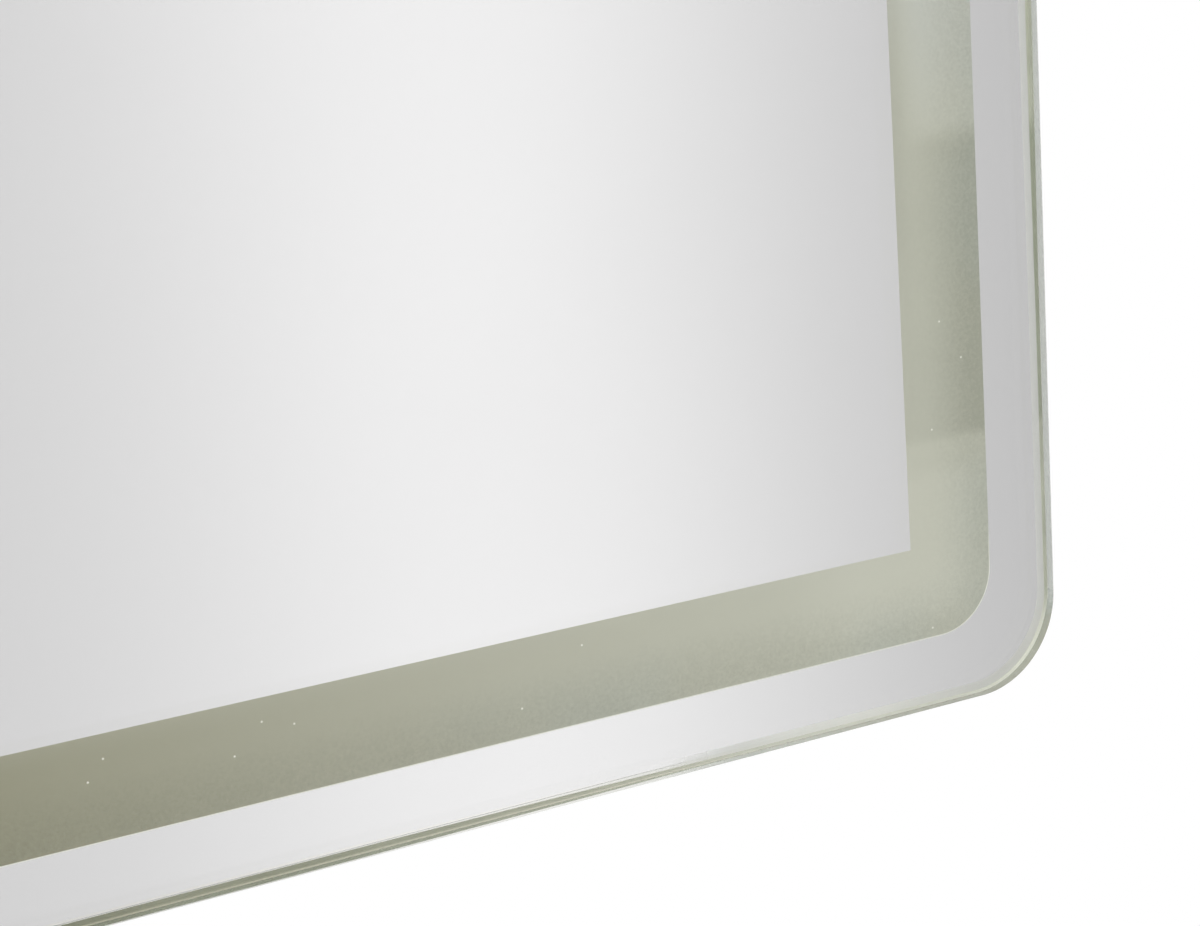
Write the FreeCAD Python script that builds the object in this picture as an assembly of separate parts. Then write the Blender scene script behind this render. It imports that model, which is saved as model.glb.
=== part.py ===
import FreeCAD
import Part
import math
import os

# Arched bathroom mirror with a frosted light band, hung on a wall rail
# X runs to the right, Y runs into the wall, Z runs up, in millimetres
# The origin is the middle of the wall rail's screw line, on the wall

Vector = FreeCAD.Vector

# Glass
mirror_width = 600.0
mirror_height = 900.0
corner_radius = 20.0
glass_thickness = 5.0
edge_round = 2.4
edge_arris = 0.8

# Light band etched on the back of the glass, between silvered fields
border_width = 15.0
band_width = 20.0
band_corner_radius = 13.0
coat_thickness = 0.2
coat_margin = 1.2

# Touch ring in the silvering
touch_height = 70.0
touch_radius = 7.0
touch_line = 1.2

# Frame, a bent profile with an outward front flange and an inward rear flange
frame_inset = 8.0
frame_wall = 1.5
frame_depth = 25.0
front_flange_width = 4.0
rear_flange_width = 14.0
frame_joint_gap = 0.4
tape_thickness = 1.0
tape_margin = 0.5

# Splice plate over the joint at the bottom of the frame
splice_length = 90.0
splice_width = 8.0
splice_thickness = 2.0
splice_rivet_spacing = 24.0

# Back panel and its gasket
panel_thickness = 1.0
panel_margin = 0.5
gasket_thickness = 1.0
gasket_margin = 1.5
rib_width = 14.0
rib_depth = 2.5
rib_bottom_height = 120.0
rib_top_drop = 60.0
rib_inset = 38.0

# Panel screws
screw_radius = 1.5
screw_length = 7.0
screw_head_radius = 3.0
screw_head_height = 2.0
screw_recess_width = 0.9
screw_recess_length = 3.4
screw_recess_depth = 1.2
side_screw_count = 3
arch_screw_count = 7
bottom_screw_inner = 80.0
bottom_screw_inset = 85.0

# Rivets
rivet_radius = 1.6
rivet_head_radius = 3.2
rivet_head_height = 1.0
rivet_tail_radius = 2.4
rivet_tail_height = 1.6
rivet_bore_radius = 0.9

# LED strip on the inner face of the frame wall
strip_width = 8.0
strip_thickness = 0.4
strip_front_gap = 3.0
strip_joint_gap = 4.0
chip_length = 3.5
chip_width = 2.8
chip_height = 0.8
chip_pitch = 16.0

# LED driver
driver_length = 160.0
driver_width = 44.0
driver_depth = 20.0
driver_wall = 1.6
driver_lid_thickness = 1.6
driver_ear_length = 12.0
driver_ear_thickness = 3.0
driver_gap = 24.0
board_thickness = 1.6
board_margin = 0.4
board_standoff_height = 3.0
board_standoff_radius = 2.5
board_standoff_inset = 8.0
transformer_length = 22.0
transformer_width = 20.0
transformer_height = 9.0
capacitor_radius = 4.0
capacitor_height = 9.5
choke_length = 14.0
choke_width = 10.0
choke_height = 7.0

# Wiring box behind a window in the panel, closed by a hatch
box_width = 96.0
box_height = 60.0
box_depth = 20.0
box_sheet = 1.0
box_flange = 12.0
wiring_drop = 150.0
hatch_thickness = 1.0
hatch_margin = 1.0
hatch_corner_radius = 4.0

# Cable grommet in the hatch
grommet_bore_radius = 4.0
grommet_neck_radius = 6.5
grommet_flange_radius = 9.5
grommet_flange_thickness = 1.6
grommet_offset = 26.0
grommet_drop = 16.0

# Terminal block in the wiring box
terminal_pitch = 11.0
terminal_count = 3
terminal_height = 20.0
terminal_depth = 13.0
terminal_well_radius = 2.6
terminal_well_depth = 5.0
terminal_screw_height = 3.0
terminal_slot_width = 0.8
terminal_slot_depth = 1.0
terminal_row_offset = 5.0

# Earth screw on the floor of the wiring box
earth_offset = 32.0
earth_head_radius = 3.4
earth_head_height = 2.4
earth_radius = 2.0
earth_length = 5.0
lug_radius = 4.2
lug_thickness = 0.8

# Leads and what holds them
supply_lead_radius = 2.2
strip_lead_radius = 1.2
sensor_lead_radius = 1.4
demister_lead_radius = 1.6
earth_lead_radius = 1.0
lead_stub = 12.0
lead_bend = 14.0
lead_side_step = 8.0
bushing_wall = 1.8
bushing_flange_width = 1.4
bushing_flange_thickness = 1.2
clip_width = 9.0
clip_length = 6.0
clip_wall = 1.4
clip_foot = 1.0
sensor_lead_offset = 40.0

# Touch sensor and demister on the back of the glass
sensor_width = 34.0
sensor_height = 24.0
sensor_board_thickness = 1.2
sensor_pad_thickness = 1.0
sensor_pad_margin = 2.0
sensor_chip_size = 6.0
sensor_chip_height = 1.5
demister_width = 280.0
demister_height = 240.0
demister_thickness = 0.5
demister_drop = 100.0
demister_tab_width = 16.0
demister_tab_height = 12.0
demister_tab_thickness = 1.5

# Hanging rails, two Z profiles that hook into each other
rail_thickness = 2.0
rail_clearance = 0.3
rail_overlap = 16.0
wall_flange_height = 24.0
mirror_flange_height = 26.0
rail_rise = 80.0
mirror_rail_inset = 110.0
wall_rail_inset = 120.0
wall_hole_radius = 2.5
wall_hole_spacing = 100.0
wall_slot_inset = 30.0
wall_slot_length = 14.0
rail_rivet_inner = 60.0
rail_rivet_inset = 25.0

# Bumpers at the bottom of the panel
bumper_radius = 8.0
bumper_tip_radius = 6.0
bumper_inset = 100.0
bumper_height = 60.0

# Fits
hole_clearance = 0.1
loose_gap = 0.3
overrun = 1.0

# Places that follow from the sizes
half_width = mirror_width / 2
arch_radius = half_width
spring_z = -rail_rise
bottom_z = spring_z + arch_radius - mirror_height
wall_gap = 2 * rail_thickness + 3 * rail_clearance
panel_back = -wall_gap
panel_front = panel_back - panel_thickness
gasket_front = panel_front - gasket_thickness
frame_front = gasket_front - frame_depth
tape_front = frame_front - tape_thickness
coat_front = tape_front - coat_thickness
glass_front = coat_front - glass_thickness
wall_inner = frame_inset + frame_wall
flange_inset = frame_inset - front_flange_width
rear_flange_inner = frame_inset + rear_flange_width
band_inner = border_width + band_width
strip_inner = wall_inner + strip_thickness
strip_front = frame_front + frame_wall + strip_front_gap
strip_middle = strip_front + strip_width / 2
hole_radius = screw_radius + hole_clearance
rivet_hole_radius = rivet_radius + hole_clearance
splice_back = gasket_front - frame_wall - loose_gap
splice_middle = splice_back - splice_width / 2
screw_inset = frame_inset + rear_flange_width / 2
touch_z = bottom_z + touch_height
box_z = spring_z - wiring_drop
driver_top = box_z - box_height / 2 - box_flange - driver_gap
driver_z = driver_top - driver_width / 2
driver_bottom = driver_top - driver_width
driver_left = -driver_length / 2
driver_right = driver_length / 2
box_front = panel_front - box_depth
demister_z = spring_z - demister_drop

# Wall rail heights from the screw line up to the hook's tip
web_bottom = wall_flange_height / 2
pocket_z = web_bottom + rail_thickness
hook_tip = pocket_z + rail_overlap
mirror_web_bottom = hook_tip + 2 * rail_clearance
mirror_web_top = mirror_web_bottom + rail_thickness
rail_rivet_z = mirror_web_top + mirror_flange_height / 2
mirror_rail_length = mirror_width - 2 * mirror_rail_inset
wall_rail_length = mirror_width - 2 * wall_rail_inset


# Helpers

def outline(inset, radius=None):
    # closed arch outline set in from the glass edge, with rounded lower corners
    if radius is None:
        radius = max(corner_radius - inset, 0)
    side = half_width - inset
    bottom = bottom_z + inset
    crown = spring_z + arch_radius - inset
    arch = Part.Arc(Vector(side, 0, spring_z), Vector(0, 0, crown), Vector(-side, 0, spring_z))
    edges = [Part.LineSegment(Vector(side, 0, bottom + radius), Vector(side, 0, spring_z)).toShape()]
    edges.append(arch.toShape())
    edges.append(Part.LineSegment(Vector(-side, 0, spring_z), Vector(-side, 0, bottom + radius)).toShape())
    if radius > 0:
        edges.append(corner(-1, side, bottom, radius))
    flat = side - radius
    edges.append(Part.LineSegment(Vector(-flat, 0, bottom), Vector(flat, 0, bottom)).toShape())
    if radius > 0:
        edges.append(corner(1, side, bottom, radius))
    return Part.Wire(edges)


def corner(hand, side, bottom, radius):
    # quarter round at a lower corner, drawn anticlockwise
    middle_x = side - radius
    middle_z = bottom + radius
    lean = radius * math.sqrt(0.5)
    ends = [Vector(hand * side, 0, middle_z), Vector(hand * middle_x, 0, bottom)]
    if hand > 0:
        ends.reverse()
    through = Vector(hand * (middle_x + lean), 0, middle_z - lean)
    return Part.Arc(ends[0], through, ends[1]).toShape()


def plate(wire, back, front):
    # flat piece with the wire's outline, between two depths
    face = Part.Face(wire)
    face.translate(Vector(0, back, 0))
    return face.extrude(Vector(0, front - back, 0))


def ring(outer, inner, back, front):
    # flat loop between two wires
    return plate(outer, back, front).cut(plate(inner, back + overrun, front - overrun))


def block(x, z, width, height, back, front):
    # box given by its middle in the panel plane and its two depths
    corner_point = Vector(x - width / 2, front, z - height / 2)
    return Part.makeBox(width, back - front, height, corner_point)


def rod(x, z, radius, back, front):
    # round bar along the depth
    return Part.makeCylinder(radius, back - front, Vector(x, front, z), Vector(0, 1, 0))


def bore(x, z, radius, back, front):
    # round cutter that runs past both depths
    return rod(x, z, radius, back + overrun, front - overrun)


def obround(x, z, width, height, back, front):
    # upright or lying slot shape, whichever side is longer
    radius = min(width, height) / 2
    reach_x = width / 2 - radius
    reach_z = height / 2 - radius
    shape = rod(x - reach_x, z - reach_z, radius, back, front)
    shape = shape.fuse(rod(x + reach_x, z + reach_z, radius, back, front))
    if reach_x > reach_z:
        middle = block(x, z, 2 * reach_x, height, back, front)
    else:
        middle = block(x, z, width, 2 * reach_z, back, front)
    return shape.fuse(middle).removeSplitter()


def rounded_plate(x, z, width, height, radius, back, front):
    # rectangular plate with rounded corners
    shape = block(x, z, width, height, back, front)
    uprights = [edge for edge in shape.Edges if is_depth_edge(edge)]
    return shape.makeFillet(radius, uprights)


def is_depth_edge(edge):
    # true for a straight edge along the depth
    first, last = edge.Vertexes[0].Point, edge.Vertexes[-1].Point
    return abs(first.y - last.y) > max(abs(first.x - last.x), abs(first.z - last.z))


def edges_at(shape, depth):
    # edges that lie wholly at one depth
    return [edge for edge in shape.Edges if all(abs(v.Y - depth) < coat_thickness for v in edge.Vertexes)]


def pan_screw(x, z, seat, length):
    # screw driven in from the back, its head seated at the given depth
    shank = rod(x, z, screw_radius, seat, seat - length)
    head = rod(x, z, screw_head_radius, seat + screw_head_height, seat)
    rim = edges_at(head, seat + screw_head_height)
    head = head.makeFillet(screw_head_height / 2, rim)
    top = seat + screw_head_height + overrun
    floor = seat + screw_head_height - screw_recess_depth
    cross = block(x, z, screw_recess_length, screw_recess_width, top, floor)
    cross = cross.fuse(block(x, z, screw_recess_width, screw_recess_length, top, floor))
    return head.fuse(shank).cut(cross).removeSplitter()


def rivet(head_seat, tail_seat, axis):
    # blind rivet through sheets, head at one seat and tail past the other
    out = axis * rivet_head_height
    head = Part.makeCylinder(rivet_head_radius, rivet_head_height, head_seat, axis)
    rim = [edge for edge in head.Edges if is_far_rim(edge, head_seat + out)]
    head = head.makeFillet(rivet_head_height / 2, rim)
    grip = (head_seat - tail_seat).Length
    shank = Part.makeCylinder(rivet_radius, grip, tail_seat, axis)
    tail = Part.makeCylinder(rivet_tail_radius, rivet_tail_height, tail_seat - axis * rivet_tail_height, axis)
    body = head.fuse(shank).fuse(tail)
    hole = Part.makeCylinder(rivet_bore_radius, rivet_head_height + grip / 2, head_seat + out, axis * -1)
    return body.cut(hole).removeSplitter()


def is_far_rim(edge, point):
    # true for the circle centred on the point
    return hasattr(edge.Curve, "Center") and (edge.Curve.Center - point).Length < rivet_head_height / 2


def lead(points, radius):
    # round lead along straight runs joined by tangent arcs
    bend_share = 0.45
    edges = []
    start = points[0]
    for before, here, after in zip(points, points[1:], points[2:]):
        run_in = here - before
        run_out = after - here
        along_in = run_in / run_in.Length
        along_out = run_out / run_out.Length
        step = min(bend_share * min(run_in.Length, run_out.Length), lead_bend)
        enter = here - along_in * step
        leave = here + along_out * step
        half_turn = along_in.getAngle(along_out) / 2
        bend = step / math.tan(half_turn)
        inward = along_out - along_in
        centre_distance = bend / math.cos(half_turn)
        centre = here + inward / inward.Length * centre_distance
        through = centre - inward / inward.Length * bend
        edges.append(Part.LineSegment(start, enter).toShape())
        edges.append(Part.Arc(enter, through, leave).toShape())
        start = leave
    edges.append(Part.LineSegment(start, points[-1]).toShape())
    path = Part.Wire(edges)
    first = points[1] - points[0]
    section = Part.Wire(Part.makeCircle(radius, points[0], first))
    return path.makePipeShell([section], True, False)


def save(name, shape):
    # one file for each named piece
    shape.exportStep("parts/" + name + ".step")


# Places shared by several pieces

def panel_screw_places():
    # screws along the sides, round the arch and along the bottom
    side = half_width - screw_inset
    low = bottom_z + screw_inset
    places = []
    for row in range(side_screw_count):
        height = low + (spring_z - low) * (2 * row + 1) / (2 * side_screw_count)
        places += [(side, height), (-side, height)]
    for step in range(arch_screw_count):
        turn = math.pi * step / (arch_screw_count - 1)
        places.append((side * math.cos(turn), spring_z + side * math.sin(turn)))
    for x in (bottom_screw_inner, half_width - bottom_screw_inset):
        places += [(x, low), (-x, low)]
    return places


def hatch_screw_places():
    # one screw in each corner of the box flange
    reach_x = box_width / 2 + box_flange / 2
    reach_z = box_height / 2 + box_flange / 2
    return [(sx * reach_x, box_z + sz * reach_z) for sx in (-1, 1) for sz in (-1, 1)]


def driver_screw_places():
    # one screw through each ear of the driver
    reach = driver_ear_length / 2
    return [(driver_left - reach, driver_z), (driver_right + reach, driver_z)]


def rail_rivet_places():
    # rivets of the hanging rail
    outer = mirror_rail_length / 2 - rail_rivet_inset
    return [sign * x for x in (rail_rivet_inner, outer) for sign in (-1, 1)]


def splice_rivet_places():
    # two rivets on each side of the frame's joint
    near = splice_rivet_spacing / 2
    far = near + splice_rivet_spacing
    return [sign * x for x in (near, far) for sign in (-1, 1)]


# Glass and the layers on its back

def make_glass():
    glass = plate(outline(0), coat_front, glass_front)
    glass = glass.makeFillet(edge_round, edges_at(glass, glass_front))
    return glass.makeChamfer(edge_arris, edges_at(glass, coat_front))


def make_silver_border():
    return ring(outline(coat_margin), outline(border_width, band_corner_radius), tape_front, coat_front)


def make_frosted_band():
    return ring(outline(border_width, band_corner_radius), outline(band_inner, 0), tape_front, coat_front)


def make_silver_centre():
    field = plate(outline(band_inner, 0), tape_front, coat_front)
    field = field.cut(bore(0, touch_z, touch_radius, tape_front, coat_front))
    spot = rod(0, touch_z, touch_radius - touch_line, tape_front, coat_front)
    return Part.makeCompound([field, spot])


def make_touch_ring():
    disc = rod(0, touch_z, touch_radius, tape_front, coat_front)
    return disc.cut(bore(0, touch_z, touch_radius - touch_line, tape_front, coat_front))


# Frame

def make_glazing_tape():
    outer = flange_inset + tape_margin
    inner = wall_inner - tape_margin
    return ring(outline(outer), outline(inner), frame_front, tape_front)


def make_frame():
    flange_back = frame_front + frame_wall
    front_flange = ring(outline(flange_inset), outline(wall_inner), flange_back, frame_front)
    wall = ring(outline(frame_inset), outline(wall_inner), gasket_front, frame_front)
    rear_front = gasket_front - frame_wall
    rear_flange = ring(outline(frame_inset), outline(rear_flange_inner), gasket_front, rear_front)
    profile = front_flange.fuse(wall).fuse(rear_flange).removeSplitter()
    for x, z in panel_screw_places():
        profile = profile.cut(bore(x, z, hole_radius, gasket_front, rear_front))
    joint_height = 2 * rear_flange_inner
    joint = block(0, bottom_z, frame_joint_gap, joint_height, gasket_front + overrun, frame_front - overrun)
    profile = profile.cut(joint)
    low = bottom_z + frame_inset - overrun
    for x in splice_rivet_places():
        start = Vector(x, splice_middle, low)
        profile = profile.cut(Part.makeCylinder(rivet_hole_radius, frame_wall + 2 * overrun, start))
    return profile


def make_splice_plate():
    bottom = bottom_z + wall_inner
    middle_z = bottom + splice_thickness / 2
    strap = block(0, middle_z, splice_length, splice_thickness, splice_back, splice_back - splice_width)
    for x in splice_rivet_places():
        start = Vector(x, splice_middle, bottom - overrun)
        strap = strap.cut(Part.makeCylinder(rivet_hole_radius, splice_thickness + 2 * overrun, start))
    return strap


def make_splice_rivets():
    down = Vector(0, 0, -1)
    rivets = []
    for x in splice_rivet_places():
        head_seat = Vector(x, splice_middle, bottom_z + frame_inset)
        tail_seat = Vector(x, splice_middle, bottom_z + wall_inner + splice_thickness)
        rivets.append(rivet(head_seat, tail_seat, down))
    return Part.makeCompound(rivets)


# Back panel

def make_gasket():
    outer = frame_inset + gasket_margin
    inner = rear_flange_inner - gasket_margin
    seal = ring(outline(outer), outline(inner), panel_front, gasket_front)
    for x, z in panel_screw_places():
        seal = seal.cut(bore(x, z, hole_radius, panel_front, gasket_front))
    return seal


def make_panel():
    sheet = plate(outline(frame_inset + panel_margin), panel_back, panel_front)
    rib_bottom = bottom_z + rib_bottom_height
    rib_top = spring_z - rib_top_drop
    rib_z = (rib_bottom + rib_top) / 2
    rib_height = rib_top - rib_bottom
    rib_x = half_width - rib_inset
    inner_width = rib_width - 2 * panel_thickness
    inner_height = rib_height - 2 * panel_thickness
    rib_front = panel_front - rib_depth
    groove_front = panel_back - rib_depth
    for x in (-rib_x, rib_x):
        sheet = sheet.fuse(obround(x, rib_z, rib_width, rib_height, panel_front, rib_front))
        groove = obround(x, rib_z, inner_width, inner_height, panel_back + overrun, groove_front)
        sheet = sheet.cut(groove)
    window_width = box_width - 2 * box_sheet
    window_height = box_height - 2 * box_sheet
    window = block(0, box_z, window_width, window_height, panel_back + overrun, panel_front - overrun)
    sheet = sheet.cut(window)
    for x, z in panel_screw_places() + hatch_screw_places() + driver_screw_places():
        sheet = sheet.cut(bore(x, z, hole_radius, panel_back, panel_front))
    for x in rail_rivet_places():
        sheet = sheet.cut(bore(x, rail_rivet_z, rivet_hole_radius, panel_back, panel_front))
    return sheet.removeSplitter()


def make_panel_screws():
    return Part.makeCompound([pan_screw(x, z, panel_back, screw_length) for x, z in panel_screw_places()])


# LED strip

def make_strip():
    back = strip_front + strip_width
    loop = ring(outline(wall_inner), outline(strip_inner), back, strip_front)
    joint = block(0, bottom_z, strip_joint_gap, 2 * rear_flange_inner, back + overrun, strip_front - overrun)
    return loop.cut(joint)


def chip_places():
    # middle and turn of each chip, on the straights and round the arch
    side = half_width - strip_inner
    bend = corner_radius - strip_inner
    low = bottom_z + strip_inner
    margin = strip_joint_gap + chip_pitch / 2
    places = []
    flat = side - bend - margin - chip_length / 2
    flat_count = int(flat // chip_pitch)
    for step in range(flat_count + 1):
        x = margin + flat * step / flat_count
        places += [(x, low, 0), (-x, low, 0)]
    rise = spring_z - low - bend
    rise_count = int(rise // chip_pitch)
    for step in range(rise_count):
        z = low + bend + rise * (2 * step + 1) / (2 * rise_count)
        places += [(side, z, 90), (-side, z, 270)]
    arch_count = int(math.pi * side // chip_pitch)
    seat = math.sqrt(side ** 2 - (chip_length / 2) ** 2)
    for step in range(arch_count):
        turn = 180 * (2 * step + 1) / (2 * arch_count)
        x = seat * math.cos(math.radians(turn))
        z = spring_z + seat * math.sin(math.radians(turn))
        places.append((x, z, 90 + turn))
    return places


def make_chips():
    chips = []
    for x, z, turn in chip_places():
        corner_point = Vector(-chip_length / 2, -chip_width / 2, 0)
        chip = Part.makeBox(chip_length, chip_width, chip_height, corner_point)
        chip.rotate(Vector(0, 0, 0), Vector(0, -1, 0), turn)
        chip.translate(Vector(x, strip_middle, z))
        chips.append(chip)
    return Part.makeCompound(chips)


# LED driver

def make_driver_case():
    front = panel_front - driver_depth + driver_lid_thickness
    case = block(0, driver_z, driver_length, driver_width, panel_front, front)
    inner_length = driver_length - 2 * driver_wall
    inner_width = driver_width - 2 * driver_wall
    floor = panel_front - driver_wall
    case = case.cut(block(0, driver_z, inner_length, inner_width, floor, front - overrun))
    for x, z in driver_screw_places():
        width = driver_width / 2
        ear = block(x, z, driver_ear_length, width, panel_front, panel_front - driver_ear_thickness)
        case = case.fuse(ear)
        case = case.cut(bore(x, z, hole_radius, panel_front, panel_front - driver_ear_thickness))
    for x, z in standoff_places():
        case = case.fuse(rod(x, z, board_standoff_radius, floor, floor - board_standoff_height))
    for cutter in driver_lead_cutters():
        case = case.cut(cutter)
    return case.removeSplitter()


def standoff_places():
    # four posts under the driver board
    reach_x = driver_length / 2 - board_standoff_inset
    reach_z = driver_width / 2 - board_standoff_inset
    return [(sx * reach_x, driver_z + sz * reach_z) for sx in (-1, 1) for sz in (-1, 1)]


def board_back():
    return panel_front - driver_wall - board_standoff_height


def driver_lead_y(radius):
    # depth of a lead that lies on the driver board
    return board_back() - board_thickness - radius


def driver_lead_cutters():
    # holes in the driver's walls for its three leads
    length = 2 * driver_wall + overrun
    holes = []
    low = driver_top - driver_wall - overrun
    start = Vector(lead_side_step, driver_lead_y(supply_lead_radius), low)
    holes.append(Part.makeCylinder(supply_lead_radius + hole_clearance, length, start, Vector(0, 0, 1)))
    start = Vector(driver_left - driver_wall, driver_lead_y(strip_lead_radius), driver_z)
    holes.append(Part.makeCylinder(strip_lead_radius + hole_clearance, length, start, Vector(1, 0, 0)))
    start = Vector(-sensor_lead_offset, driver_lead_y(sensor_lead_radius), driver_bottom - driver_wall)
    holes.append(Part.makeCylinder(sensor_lead_radius + hole_clearance, length, start, Vector(0, 0, 1)))
    return holes


def make_driver_lid():
    front = panel_front - driver_depth
    back = front + driver_lid_thickness
    lid = block(0, driver_z, driver_length, driver_width, back, front)
    lip_outer_length = driver_length - 2 * driver_wall - 2 * loose_gap
    lip_outer_width = driver_width - 2 * driver_wall - 2 * loose_gap
    lip_back = back + driver_lid_thickness
    lip = block(0, driver_z, lip_outer_length, lip_outer_width, lip_back, back)
    lip_length = lip_outer_length - 2 * driver_wall
    lip_width = lip_outer_width - 2 * driver_wall
    lip = lip.cut(block(0, driver_z, lip_length, lip_width, lip_back + overrun, back - overrun))
    return lid.fuse(lip).removeSplitter()


def make_driver_board():
    back = board_back()
    front = back - board_thickness
    length = driver_length - 2 * driver_wall - 2 * board_margin
    width = driver_width - 2 * driver_wall - 2 * board_margin
    board = block(0, driver_z, length, width, back, front)
    transformer = block(0, driver_z, transformer_length, transformer_width,
                        front, front - transformer_height)
    right_x = length / 4
    capacitor_z = driver_z + width / 4
    capacitor = rod(right_x, capacitor_z, capacitor_radius, front, front - capacitor_height)
    choke = block(-right_x, capacitor_z, choke_length, choke_width, front, front - choke_height)
    return Part.makeCompound([board, transformer, capacitor, choke])


def make_driver_screws():
    return Part.makeCompound([pan_screw(x, z, panel_back, panel_thickness + driver_ear_thickness)
                              for x, z in driver_screw_places()])


# Wiring box, hatch and terminals

def terminal_width():
    return terminal_pitch * terminal_count


def terminal_y():
    # depth of the middle of the terminal block
    return box_front + box_sheet + terminal_depth / 2


def bushing_radius(lead_radius):
    return lead_radius + hole_clearance + bushing_wall


def box_exits():
    # start in the box wall, direction and lead radius of each lead that leaves the box
    y = terminal_y()
    low = Vector(0, y, box_z - box_height / 2)
    top = Vector(0, y, box_z + box_height / 2)
    return [(low, Vector(0, 0, -1), supply_lead_radius), (top, Vector(0, 0, 1), demister_lead_radius)]


def make_wiring_box():
    tray = block(0, box_z, box_width, box_height, panel_front, box_front)
    inner_width = box_width - 2 * box_sheet
    inner_height = box_height - 2 * box_sheet
    hollow = block(0, box_z, inner_width, inner_height, panel_front + overrun, box_front + box_sheet)
    flange_width = box_width + 2 * box_flange
    flange_height = box_height + 2 * box_flange
    flange = block(0, box_z, flange_width, flange_height, panel_front, panel_front - box_sheet)
    tray = tray.fuse(flange).cut(hollow)
    for x, z in hatch_screw_places():
        tray = tray.cut(bore(x, z, hole_radius, panel_front, panel_front - box_sheet))
    for start, axis, radius in box_exits():
        neck = bushing_radius(radius)
        inside = start - axis * (box_sheet + overrun)
        tray = tray.cut(Part.makeCylinder(neck, box_sheet + 2 * overrun, inside, axis))
    tray = tray.cut(bore(earth_offset, box_z, earth_radius + hole_clearance, box_front + box_sheet, box_front))
    return tray.removeSplitter()


def make_bushings():
    bushings = []
    for start, axis, radius in box_exits():
        neck = bushing_radius(radius)
        inside = start - axis * box_sheet
        body = Part.makeCylinder(neck, box_sheet, inside, axis)
        flange = Part.makeCylinder(neck + bushing_flange_width, bushing_flange_thickness, start, axis)
        hole_length = box_sheet + bushing_flange_thickness + 2 * overrun
        hole = Part.makeCylinder(radius + hole_clearance, hole_length, inside - axis * overrun, axis)
        bushings.append(body.fuse(flange).cut(hole).removeSplitter())
    return Part.makeCompound(bushings)


def grommet_place():
    return -grommet_offset, box_z - grommet_drop


def make_hatch():
    width = box_width + 2 * box_flange - 2 * hatch_margin
    height = box_height + 2 * box_flange - 2 * hatch_margin
    back = panel_back + hatch_thickness
    cover = rounded_plate(0, box_z, width, height, hatch_corner_radius, back, panel_back)
    for x, z in hatch_screw_places():
        cover = cover.cut(bore(x, z, hole_radius, back, panel_back))
    x, z = grommet_place()
    return cover.cut(bore(x, z, grommet_neck_radius + hole_clearance, back, panel_back))


def make_hatch_screws():
    seat = panel_back + hatch_thickness
    return Part.makeCompound([pan_screw(x, z, seat, screw_length) for x, z in hatch_screw_places()])


def make_grommet():
    x, z = grommet_place()
    back = panel_back + hatch_thickness
    reach_back = back + grommet_flange_thickness
    reach_front = panel_back - grommet_flange_thickness
    outer = rod(x, z, grommet_flange_radius, reach_back, back)
    inner = rod(x, z, grommet_flange_radius, panel_back, reach_front)
    neck = rod(x, z, grommet_neck_radius, back, panel_back)
    body = outer.fuse(neck).fuse(inner)
    return body.cut(bore(x, z, grommet_bore_radius, reach_back, reach_front)).removeSplitter()


def terminal_well_places():
    first = -terminal_width() / 2 + terminal_pitch / 2
    columns = [first + terminal_pitch * step for step in range(terminal_count)]
    return [(x, box_z + sign * terminal_row_offset) for x in columns for sign in (-1, 1)]


def make_terminal_block():
    floor = box_front + box_sheet
    top = floor + terminal_depth
    body = block(0, box_z, terminal_width(), terminal_height, top, floor)
    for x, z in terminal_well_places():
        body = body.cut(rod(x, z, terminal_well_radius, top + overrun, top - terminal_well_depth))
    return body


def make_terminal_screws():
    seat = box_front + box_sheet + terminal_depth - terminal_well_depth
    top = seat + terminal_screw_height
    screws = []
    for x, z in terminal_well_places():
        body = rod(x, z, terminal_well_radius - loose_gap, top, seat)
        slot = block(x, z, 2 * terminal_well_radius, terminal_slot_width, top + overrun, top - terminal_slot_depth)
        screws.append(body.cut(slot))
    return Part.makeCompound(screws)


def make_earth_lug():
    floor = box_front + box_sheet
    disc = rod(earth_offset, box_z, lug_radius, floor + lug_thickness, floor)
    return disc.cut(bore(earth_offset, box_z, earth_radius + hole_clearance, floor + lug_thickness, floor))


def make_earth_screw():
    seat = box_front + box_sheet + lug_thickness
    head = rod(earth_offset, box_z, earth_head_radius, seat + earth_head_height, seat)
    top = seat + earth_head_height
    slot = block(earth_offset, box_z, 2 * earth_head_radius, terminal_slot_width, top + overrun,
                 top - terminal_slot_depth)
    shank = rod(earth_offset, box_z, earth_radius, seat, seat - earth_length)
    return head.fuse(shank).cut(slot).removeSplitter()


# Leads

def make_supply_lead():
    y = terminal_y()
    end_y = driver_lead_y(supply_lead_radius)
    points = [Vector(0, y, box_z - terminal_height / 2), Vector(0, y, box_z - box_height / 2 - lead_stub)]
    points.append(Vector(lead_side_step, end_y, driver_top + lead_stub))
    points.append(Vector(lead_side_step, end_y, driver_top - lead_stub))
    return lead(points, supply_lead_radius)


def make_strip_lead():
    y = driver_lead_y(strip_lead_radius)
    strip_x = -half_width + strip_inner
    end_y = strip_middle + chip_width / 2 + strip_lead_radius + hole_clearance
    end_z = driver_bottom
    points = [Vector(driver_left + lead_stub, y, driver_z)]
    points.append(Vector(driver_left - driver_ear_length - lead_stub, y, driver_z))
    points.append(Vector(strip_x + lead_stub, end_y, end_z))
    points.append(Vector(strip_x, end_y, end_z))
    return lead(points, strip_lead_radius)


def sensor_run_x():
    return lead_side_step - sensor_lead_offset


def clip_axis_y():
    # depth of the axis of a lead held in a clip on the panel
    return panel_front - clip_foot - sensor_lead_radius - hole_clearance


def sensor_lead_levels():
    # heights where the sensor lead reaches the panel, leaves it and turns to the sensor
    top = driver_bottom
    low = touch_z + sensor_height / 2
    upper_share = 0.3
    lower_share = 0.7
    return [top - (top - low) * upper_share, top - (top - low) * lower_share]


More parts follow.
